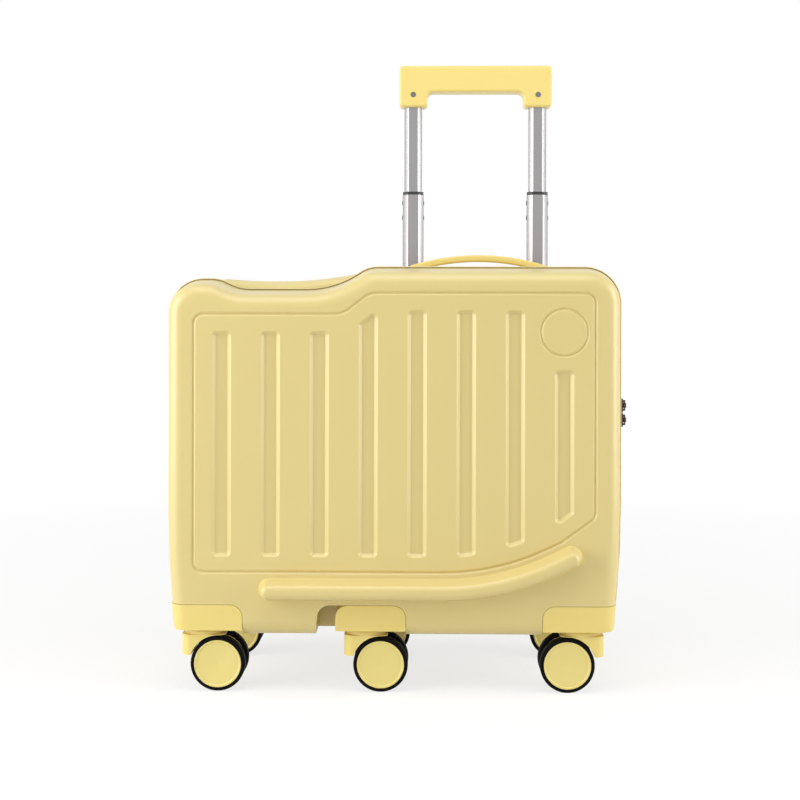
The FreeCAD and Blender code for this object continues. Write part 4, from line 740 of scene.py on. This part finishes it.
for half, (side, _) in HALVES.items():
    for place, (x, way) in CASTERS.items():
        name, y = f"{half}_{place}", side * CASTER_Y
        fit(fork(f"{name}_swivel_fork", x, y, way), f"{name}_fork", "caster_plastic", f"{name}_caster_fork")
        axle = (x + way * TRAIL, WHEEL_R)
        hubs, tyres = [], []
        for out in (-1, 1):
            hub, tyre = wheel_sections(y + out * WHEEL_SPACING / 2, out)
            hubs.append(turned(hub, axle, on_face, wrap=True))
            tyres.append(turned(tyre, axle, on_face, wrap=True))
        fit(build(f"{name}_wheel_discs", hubs), f"{name}_wheels", "hub_plastic", f"{name}_caster_hubs")
        fit(build(f"{name}_treads", tyres, crease=40), f"{name}_wheels", "tyre_rubber", f"{name}_caster_tyres")

# %% [markdown]
# The trolley has two stages of eight-sided tubes that slide in fixed outer tubes. A plate on the deck frames their
# mouths. The grip is a flat bar with two short legs: its outline with round corners, thick enough for a hand, with
# softly rounded edges. A release button is let into its top and a screw holds each leg to its tube.

# %% Trolley tubes, plate and grip
UPPER_TUBE, UPPER_WALL, MIDDLE_TUBE, MIDDLE_WALL = (305.8, 628.8), 1.2, (190.0, 512.0), 1.4
PLATE_LOW, PLATE_TOP, PLATE_MARGIN, PLATE_R, PLATE_EDGE = 423.0, 431.0, 7.0, 9.0, 1.6
GRIP_X, GRIP_Y, GRIP_LEG, GRIP_EDGE = (2.2, 170.8), (56.5, 83.5), 30.9, 2.6
GRIP_LOW, GRIP_BAR, GRIP_TOP = 608.8, 625.5, 654.5
BUTTON_LENGTH, BUTTON_WIDTH, BUTTON_R, BUTTON_EDGE = 48.0, 15.0, 5.0, 1.2
BUTTON_TOP, BUTTON_HEIGHT, BUTTON_SLACK, BUTTON_TRAVEL = 654.2, 8.0, 0.4, 4.0
SCREW_Z, SCREW_R, SCREW_Y, SCREW_SLACK, SCREW_SUNK, BEYOND = 622.2, 3.0, 57.0, 0.15, 1.6, 5.5


def tube_pair(name, grow, wall, low, high):
    """Two tubes: the section's outside and inside walls joined at both ends, with an eased rim."""
    section = [(0, low + 0.3), (0, high - 0.3), (-0.3, high), (-wall, high), (-wall, low), (-0.3, low)]
    return build(name, [grid(carried(tube_outline(x, grow), section, on_deck), wrap=True) for x in TUBES])


def button_outline(grow):
    """The release button's outline, grown all round."""
    return rectangle(TROLLEY_X, TROLLEY_Y, BUTTON_LENGTH + 2 * grow, BUTTON_WIDTH + 2 * grow, BUTTON_R + grow)


fit(tube_pair("upper_tube_pair", 0.0, UPPER_WALL, *UPPER_TUBE), "trolley_upper", "tube_metal",
    "trolley_upper_tubes")
fit(tube_pair("middle_tube_pair", MIDDLE_GROW, MIDDLE_WALL, *MIDDLE_TUBE), "trolley_middle", "tube_metal",
    "trolley_middle_tubes")

margin = OUTER_GROW + PLATE_MARGIN
plate_outline = rectangle(TROLLEY_X, TROLLEY_Y, TUBE_PITCH + 2 * (TUBE_HALF_WIDTH + margin),
                          2 * (TUBE_HALF_DEPTH + margin), PLATE_R)
plate = build("deck_plate", slab(plate_outline, PLATE_LOW, PLATE_TOP, PLATE_EDGE, on_deck))
carve(plate, [plug("mouth", tube_outline(x, OUTER_BORE), *THROUGH_DECK, on_deck) for x in TUBES])
fit(plate, "main_case", "accent_plastic", "trolley_plate")

left, right = GRIP_X
grip_outline = rounded([
    (left, GRIP_LOW, 4.0), (left + GRIP_LEG, GRIP_LOW, 4.0), (left + GRIP_LEG, GRIP_BAR, 7.0),
    (right - GRIP_LEG, GRIP_BAR, 7.0), (right - GRIP_LEG, GRIP_LOW, 4.0), (right, GRIP_LOW, 4.0),
    (right, GRIP_TOP, 5.0), (left, GRIP_TOP, 5.0)])
grip = build("trolley_grip", slab(grip_outline, *GRIP_Y, GRIP_EDGE, on_face))
button_foot = BUTTON_TOP - BUTTON_HEIGHT
rooms = [plug("button_room", button_outline(BUTTON_SLACK), button_foot - BUTTON_TRAVEL - BUTTON_SLACK,
              GRIP_TOP + BEYOND, on_deck)]
rooms += [plug("screw_room", circle(x, SCREW_Z, SCREW_R + SCREW_SLACK, 32), GRIP_Y[0] - BEYOND,
               SCREW_Y + SCREW_SUNK, on_face) for x in TUBES]
fit(carve(grip, rooms), "trolley_upper", "accent_plastic", "grip")

button = build("release_button", slab(button_outline(0.0), button_foot, BUTTON_TOP, BUTTON_EDGE, on_deck))
fit(button, "grip_button", "accent_plastic", "grip_button")

# %% [markdown]
# The carry handle is a bowed strap whose legs slide through the deck when it is lifted. Its section, a rectangle
# with soft edges, is carried along the bow, drawn in at both ends and cut level where it rests on the deck. The
# legs go down inside the case, where nothing shows, so they are plain blocks.

# %% Carry handle
CARRY_APEX, CARRY_END, CARRY_FLOOR, CARRY_LEG_LOW = 443.0, 431.5, 428.0, 401.0
CARRY_THICK, CARRY_WIDTH, CARRY_EDGE, LEG_EDGE, LEG_EASE = 7.0, 22.0, 2.0, 0.6, 0.05
half_span, bow = (CARRY_RIGHT - CARRY_LEFT) / 2, CARRY_APEX - CARRY_END
carry_x, bow_r = (CARRY_LEFT + CARRY_RIGHT) / 2, (half_span ** 2 + bow ** 2) / (2 * bow)


def strap(count=40, end_round=1.4):
    """Rings of the strap's section at stations along the bow, each drawn in by the round of its end."""
    section, facing = rectangle(0, 0, CARRY_THICK, CARRY_WIDTH, CARRY_EDGE, 15.0)
    reach, end = math.asin(half_span / bow_r), quarter(end_round)
    last = reach - end_round / bow_r
    stations = [(h / bow_r - reach, inset) for inset, h in end[:-1]]
    stations += [(angle, 0.0) for angle in np.linspace(-last, last, count)]
    stations += [(reach - h / bow_r, inset) for inset, h in end[-2::-1]]
    rings = []
    for angle, inset in stations:
        flat = section - inset * facing
        radius = bow_r - CARRY_THICK / 2 + flat[:, 0]
        height = CARRY_APEX - bow_r + radius * math.cos(angle)
        rings.append(np.column_stack([carry_x + radius * math.sin(angle), CARRY_Y + flat[:, 1],
                                      np.maximum(height, CARRY_FLOOR)]))
    ends = [np.broadcast_to(ring.mean(axis=0), ring.shape) for ring in (rings[0], rings[-1])]
    return grid([ends[0]] + rings + [ends[1]])


legs = [patch for x in CARRY_LEGS for patch in
        slab(leg_outline(x, -LEG_EASE), CARRY_LEG_LOW, CARRY_FLOOR + 2, LEG_EDGE, on_deck)]
fit(build("carry_strap", [strap()] + legs), "carry_handle", "accent_plastic", "carry_handle")

# %% [markdown]
# The finishes share a few effects, each a node group: the fine grain of a moulded surface, the uneven tone and
# dust of a thing in use, the weave of a tape and the drawn lines of an aluminium tube. A group only gives colours,
# values and heights. The shader itself stays in each material.

# %% Shader groups
def wire(tree, made, sockets):
    """Give each of a node's sockets a value, or link it to another node's socket."""
    for key, value in sockets.items():
        if isinstance(value, bpy.types.NodeSocket):
            tree.links.new(value, made.inputs[key])
        else:
            made.inputs[key].default_value = value


def node(tree, kind, sockets=None, **settings):
    """A shader node with its settings made and its sockets wired."""
    made = tree.nodes.new(kind)
    for key, value in settings.items():
        setattr(made, key, value)
    wire(tree, made, sockets or {})
    return made


def shader_group(name, inputs, outputs):
    tree = bpy.data.node_groups.new(name, "ShaderNodeTree")
    for label, kind, value in inputs:
        socket = tree.interface.new_socket(label, in_out="INPUT", socket_type="NodeSocket" + kind)
        if value is not None:
            socket.default_value = value
    for label, kind in outputs:
        tree.interface.new_socket(label, in_out="OUTPUT", socket_type="NodeSocket" + kind)
    return tree, tree.nodes.new("NodeGroupInput").outputs, tree.nodes.new("NodeGroupOutput").inputs


def maths(tree, how, *values, clamp=False):
    return node(tree, "ShaderNodeMath", dict(enumerate(values)), operation=how, use_clamp=clamp).outputs[0]


def mixed(tree, share, first, second):
    """A mix of two colours: the mix node's sockets 6 and 7 are its colours, and its output 2 their mix."""
    return node(tree, "ShaderNodeMix", {0: share, 6: first, 7: second}, data_type="RGBA").outputs[2]


def grain_group():
    """Fine spark-eroded grain, as a height."""
    tree, given, gives = shader_group("moulded grain", [("Place", "Vector", None), ("Size", "Float", 1800.0)],
                                      [("Height", "Float")])
    fine = node(tree, "ShaderNodeTexNoise", {"Vector": given["Place"], "Scale": given["Size"], "Detail": 2.0})
    tree.links.new(fine.outputs["Fac"], gives["Height"])
    return tree


def tone_group():
    """A colour that drifts to a second tone in patches and gathers pale dust where it faces up."""
    tree, given, gives = shader_group(
        "used tone", [("Place", "Vector", None), ("Facing", "Vector", None), ("Colour", "Color", None),
                      ("Second", "Color", None), ("Dust", "Float", 0.1), ("Rough", "Float", 0.4)],
        [("Colour", "Color"), ("Rough", "Float")])
    drift = node(tree, "ShaderNodeTexNoise", {"Vector": given["Place"], "Scale": 6.0, "Detail": 4.0})
    share = node(tree, "ShaderNodeMapRange", {"Value": drift.outputs["Fac"], "From Min": 0.1, "From Max": 0.9})
    toned = mixed(tree, share.outputs[0], given["Colour"], given["Second"])
    up = node(tree, "ShaderNodeSeparateXYZ", {"Vector": given["Facing"]}).outputs["Z"]
    specks = node(tree, "ShaderNodeTexNoise", {"Vector": given["Place"], "Scale": 260.0, "Detail": 5.0})
    settled = maths(tree, "MULTIPLY", maths(tree, "POWER", maths(tree, "MAXIMUM", up, 0.0), 3.0),
                    specks.outputs["Fac"])
    dust = maths(tree, "MULTIPLY", settled, given["Dust"], clamp=True)
    tree.links.new(mixed(tree, dust, toned, (0.72, 0.69, 0.60, 1)), gives["Colour"])
    polish = maths(tree, "MULTIPLY_ADD", drift.outputs["Fac"], 0.10, -0.05)
    rough = maths(tree, "ADD", given["Rough"], polish)
    tree.links.new(maths(tree, "ADD", rough, maths(tree, "MULTIPLY", dust, 0.4), clamp=True), gives["Rough"])
    return tree


def weave_group():
    """Crossed threads of a tape that runs round the case: along the outline, and across in y."""
    tree, given, gives = shader_group("tape weave", [("Place", "Vector", None), ("Threads", "Float", 5200.0)],
                                      [("Height", "Float")])
    axes = node(tree, "ShaderNodeSeparateXYZ", {"Vector": given["Place"]}).outputs
    run = maths(tree, "ADD", axes["X"], axes["Z"])
    along = maths(tree, "SINE", maths(tree, "MULTIPLY", run, given["Threads"]))
    across = maths(tree, "SINE", maths(tree, "MULTIPLY", axes["Y"], given["Threads"]))
    tree.links.new(maths(tree, "MULTIPLY_ADD", maths(tree, "MULTIPLY", along, across), 0.5, 0.5), gives["Height"])
    return tree


def drawn_group():
    """Fine lines along z, as left by drawing and brushing a tube."""
    tree, given, gives = shader_group("drawn lines", [("Place", "Vector", None)], [("Height", "Float")])
    stretched = node(tree, "ShaderNodeMapping", {"Vector": given["Place"], "Scale": (1.0, 1.0, 0.01)})
    lines = node(tree, "ShaderNodeTexNoise", {"Vector": stretched.outputs[0], "Scale": 2400.0, "Detail": 3.0})
    tree.links.new(lines.outputs["Fac"], gives["Height"])
    return tree


GRAIN, TONE, WEAVE, DRAWN = grain_group(), tone_group(), weave_group(), drawn_group()
print("shader groups:", [group.name for group in (GRAIN, TONE, WEAVE, DRAWN)])

# %% [markdown]
# Every finish of the record is one material, and one function makes them all, so they age and gather dust alike.
# Colour and roughness drift a little, as on moulded plastic that has been handled. A value that is the same all
# over, such as how metallic a finish is, is set on the shader itself, where the export finds it.

# %% Materials, one for each finish of the record
def finish(name, colour, second, rough, texture=GRAIN, depth=0.00004, dust=0.0, settings=None, **sizes):
    """Tone and roughness from the used-tone group, fine relief from a texture group, over a Principled shader."""
    material = bpy.data.materials.new(name)
    material.use_nodes = True
    tree = material.node_tree
    place = node(tree, "ShaderNodeTexCoord").outputs
    look = {"Colour": (*colour, 1), "Second": (*second, 1), "Dust": dust, "Rough": rough}
    tone = node(tree, "ShaderNodeGroup", {"Place": place["Object"], "Facing": place["Normal"], **look},
                node_tree=TONE).outputs
    relief = node(tree, "ShaderNodeGroup", {"Place": place["Object"], **sizes}, node_tree=texture).outputs
    bump = node(tree, "ShaderNodeBump", {"Height": relief["Height"], "Distance": depth, "Strength": 1.0}).outputs
    wire(tree, tree.nodes["Principled BSDF"], {"Base Color": tone["Colour"], "Roughness": tone["Rough"],
                                               "Normal": bump["Normal"], **(settings or {})})
    return material


MATERIALS = {
    "shell": finish("butter shell", (0.74, 0.61, 0.25), (0.72, 0.585, 0.235), 0.32, dust=0.12,
                    settings={"Specular IOR Level": 0.65}, Size=1500.0),
    "accent_plastic": finish("butter plastic", (0.87, 0.70, 0.235), (0.85, 0.675, 0.22), 0.33, dust=0.10,
                             Size=2200.0),
    "caster_plastic": finish("caster plastic", (0.85, 0.69, 0.225), (0.82, 0.66, 0.205), 0.35, dust=0.10,
                             Size=2200.0),
    "hub_plastic": finish("hub plastic", (0.84, 0.71, 0.25), (0.81, 0.68, 0.23), 0.36, Size=2600.0),
    "saddle": finish("saddle cover", (0.77, 0.65, 0.28), (0.75, 0.62, 0.25), 0.50, depth=0.0003, Size=900.0),
    "zip_tape": finish("zip cloth", (0.84, 0.73, 0.42), (0.80, 0.69, 0.37), 0.75, texture=WEAVE, depth=0.0002,
                       settings={"Sheen Weight": 0.25}),
    "tyre_rubber": finish("tyre rubber", (0.003, 0.003, 0.003), (0.005, 0.0045, 0.0045), 0.6, dust=0.008,
                          settings={"Specular IOR Level": 0.06}, Size=900.0),
    "tube_metal": finish("drawn aluminium", (0.37, 0.355, 0.36), (0.34, 0.33, 0.335), 0.30, texture=DRAWN,
                         depth=0.00002, settings={"Metallic": 0.9}),
    "black_plastic": finish("black plastic", (0.018, 0.018, 0.019), (0.026, 0.026, 0.026), 0.42, Size=2400.0),
    "steel": finish("screw steel", (0.25, 0.24, 0.23), (0.21, 0.20, 0.19), 0.30, depth=0.00001,
                    settings={"Metallic": 1.0}, Size=3000.0),
    "zip_metal": finish("dark zip metal", (0.10, 0.075, 0.065), (0.07, 0.05, 0.045), 0.34, depth=0.00002,
                        settings={"Metallic": 0.7}, Size=2600.0),
}

for piece, slot in PIECES:
    piece.data.materials.clear()
    piece.data.materials.append(MATERIALS[slot])
for row in frame["record"]["subparts"]:
    if row["node"] not in REPLACED:
        for place in frame["nodes"][row["node"]].material_slots:
            place.material = MATERIALS[row["material_slot"]]
print("materials:", len(MATERIALS), "pieces:", len(PIECES), "nodes replaced:", len(REPLACED))

# %% [markdown]
# The stage is a white sweep: the floor and the world look white to the camera and in reflections, but light the
# object softly, so the floor still takes its shadow. That shadow fades to white away from the object. Large lamps
# stand at the left, at the right and above.

# %% Stage, lamps and camera
WHITE, AIM = (1, 1, 1, 1), (0.0, 0.0, 0.3)


def white_to_camera(tree, soft, white):
    """Mix two shaders: the soft one for light that falls on things, the white one for what is seen directly."""
    rays = node(tree, "ShaderNodeLightPath").outputs
    mirrored = maths(tree, "MAXIMUM", rays["Is Glossy Ray"], rays["Is Transmission Ray"])
    seen = maths(tree, "MAXIMUM", rays["Is Camera Ray"], mirrored)
    return node(tree, "ShaderNodeMixShader", {0: seen, 1: soft, 2: white}).outputs[0]


def bare_tree(owner):
    """The empty node tree of a world or a material."""
    owner.use_nodes = True
    owner.node_tree.nodes.clear()
    return owner.node_tree


scene = bpy.context.scene
scene.world = bpy.data.worlds.new("studio")
tree = bare_tree(scene.world)
ambient = node(tree, "ShaderNodeBackground", {"Color": WHITE, "Strength": 0.31}).outputs[0]
backdrop = node(tree, "ShaderNodeBackground", {"Color": WHITE, "Strength": 1.0}).outputs[0]
node(tree, "ShaderNodeOutputWorld", {"Surface": white_to_camera(tree, ambient, backdrop)})

floor_mesh = bpy.data.meshes.new("floor")
floor_mesh.from_pydata([(-6, -6, 0), (6, -6, 0), (6, 6, 0), (-6, 6, 0)], [], [(0, 1, 2, 3)])
floor = new_object("floor", floor_mesh)
paper = bpy.data.materials.new("white paper")
tree = bare_tree(paper)
matte = node(tree, "ShaderNodeBsdfDiffuse", {"Color": (0.8, 0.8, 0.8, 1)}).outputs[0]
glow = node(tree, "ShaderNodeEmission", {"Color": WHITE, "Strength": 1.1}).outputs[0]
spot = node(tree, "ShaderNodeTexCoord").outputs["Object"]
away = node(tree, "ShaderNodeVectorMath", {0: spot}, operation="LENGTH").outputs["Value"]
fade = node(tree, "ShaderNodeMapRange",
            {"Value": away, "From Min": 0.5, "From Max": 2.5, "To Min": 0.68, "To Max": 1.0}).outputs[0]
lit = node(tree, "ShaderNodeMixShader", {0: fade, 1: matte, 2: glow}).outputs[0]
node(tree, "ShaderNodeOutputMaterial", {"Surface": white_to_camera(tree, matte, lit)})
floor_mesh.materials.append(paper)


def lamp(name, place, width, height, power):
    """A softbox turned to face the middle of the object."""
    light = bpy.data.lights.new(name, "AREA")
    light.shape, light.size, light.size_y, light.energy = "RECTANGLE", width, height, power
    softbox = new_object(name, light)
    softbox.location = place
    x, y, z = np.array(AIM) - np.array(place)
    softbox.rotation_euler = (math.atan2(math.hypot(x, y), -z), 0.0, math.atan2(y, x) - math.pi / 2)


lamp("left softbox", (-1.65, -0.75, 0.7), 1.5, 1.5, 29.0)
lamp("right softbox", (1.7, -0.45, 0.7), 1.0, 1.5, 20.0)
lamp("top softbox", (0.0, -0.6, 1.9), 1.4, 1.2, 12.0)

camera_data = bpy.data.cameras.new("camera")
camera_data.lens, camera_data.sensor_width = 67.5, 36.0
camera_data.shift_x, camera_data.shift_y = -0.0015, -0.1112
camera = new_object("camera", camera_data)
camera.location = (0.0365, -1.603, 0.3827)
camera.rotation_euler = (math.pi / 2, math.radians(-0.12), math.radians(1.1))
scene.camera = camera
scene.view_settings.view_transform = "Standard"
print("camera:", camera_data.lens, "mm lens at", tuple(camera.location))
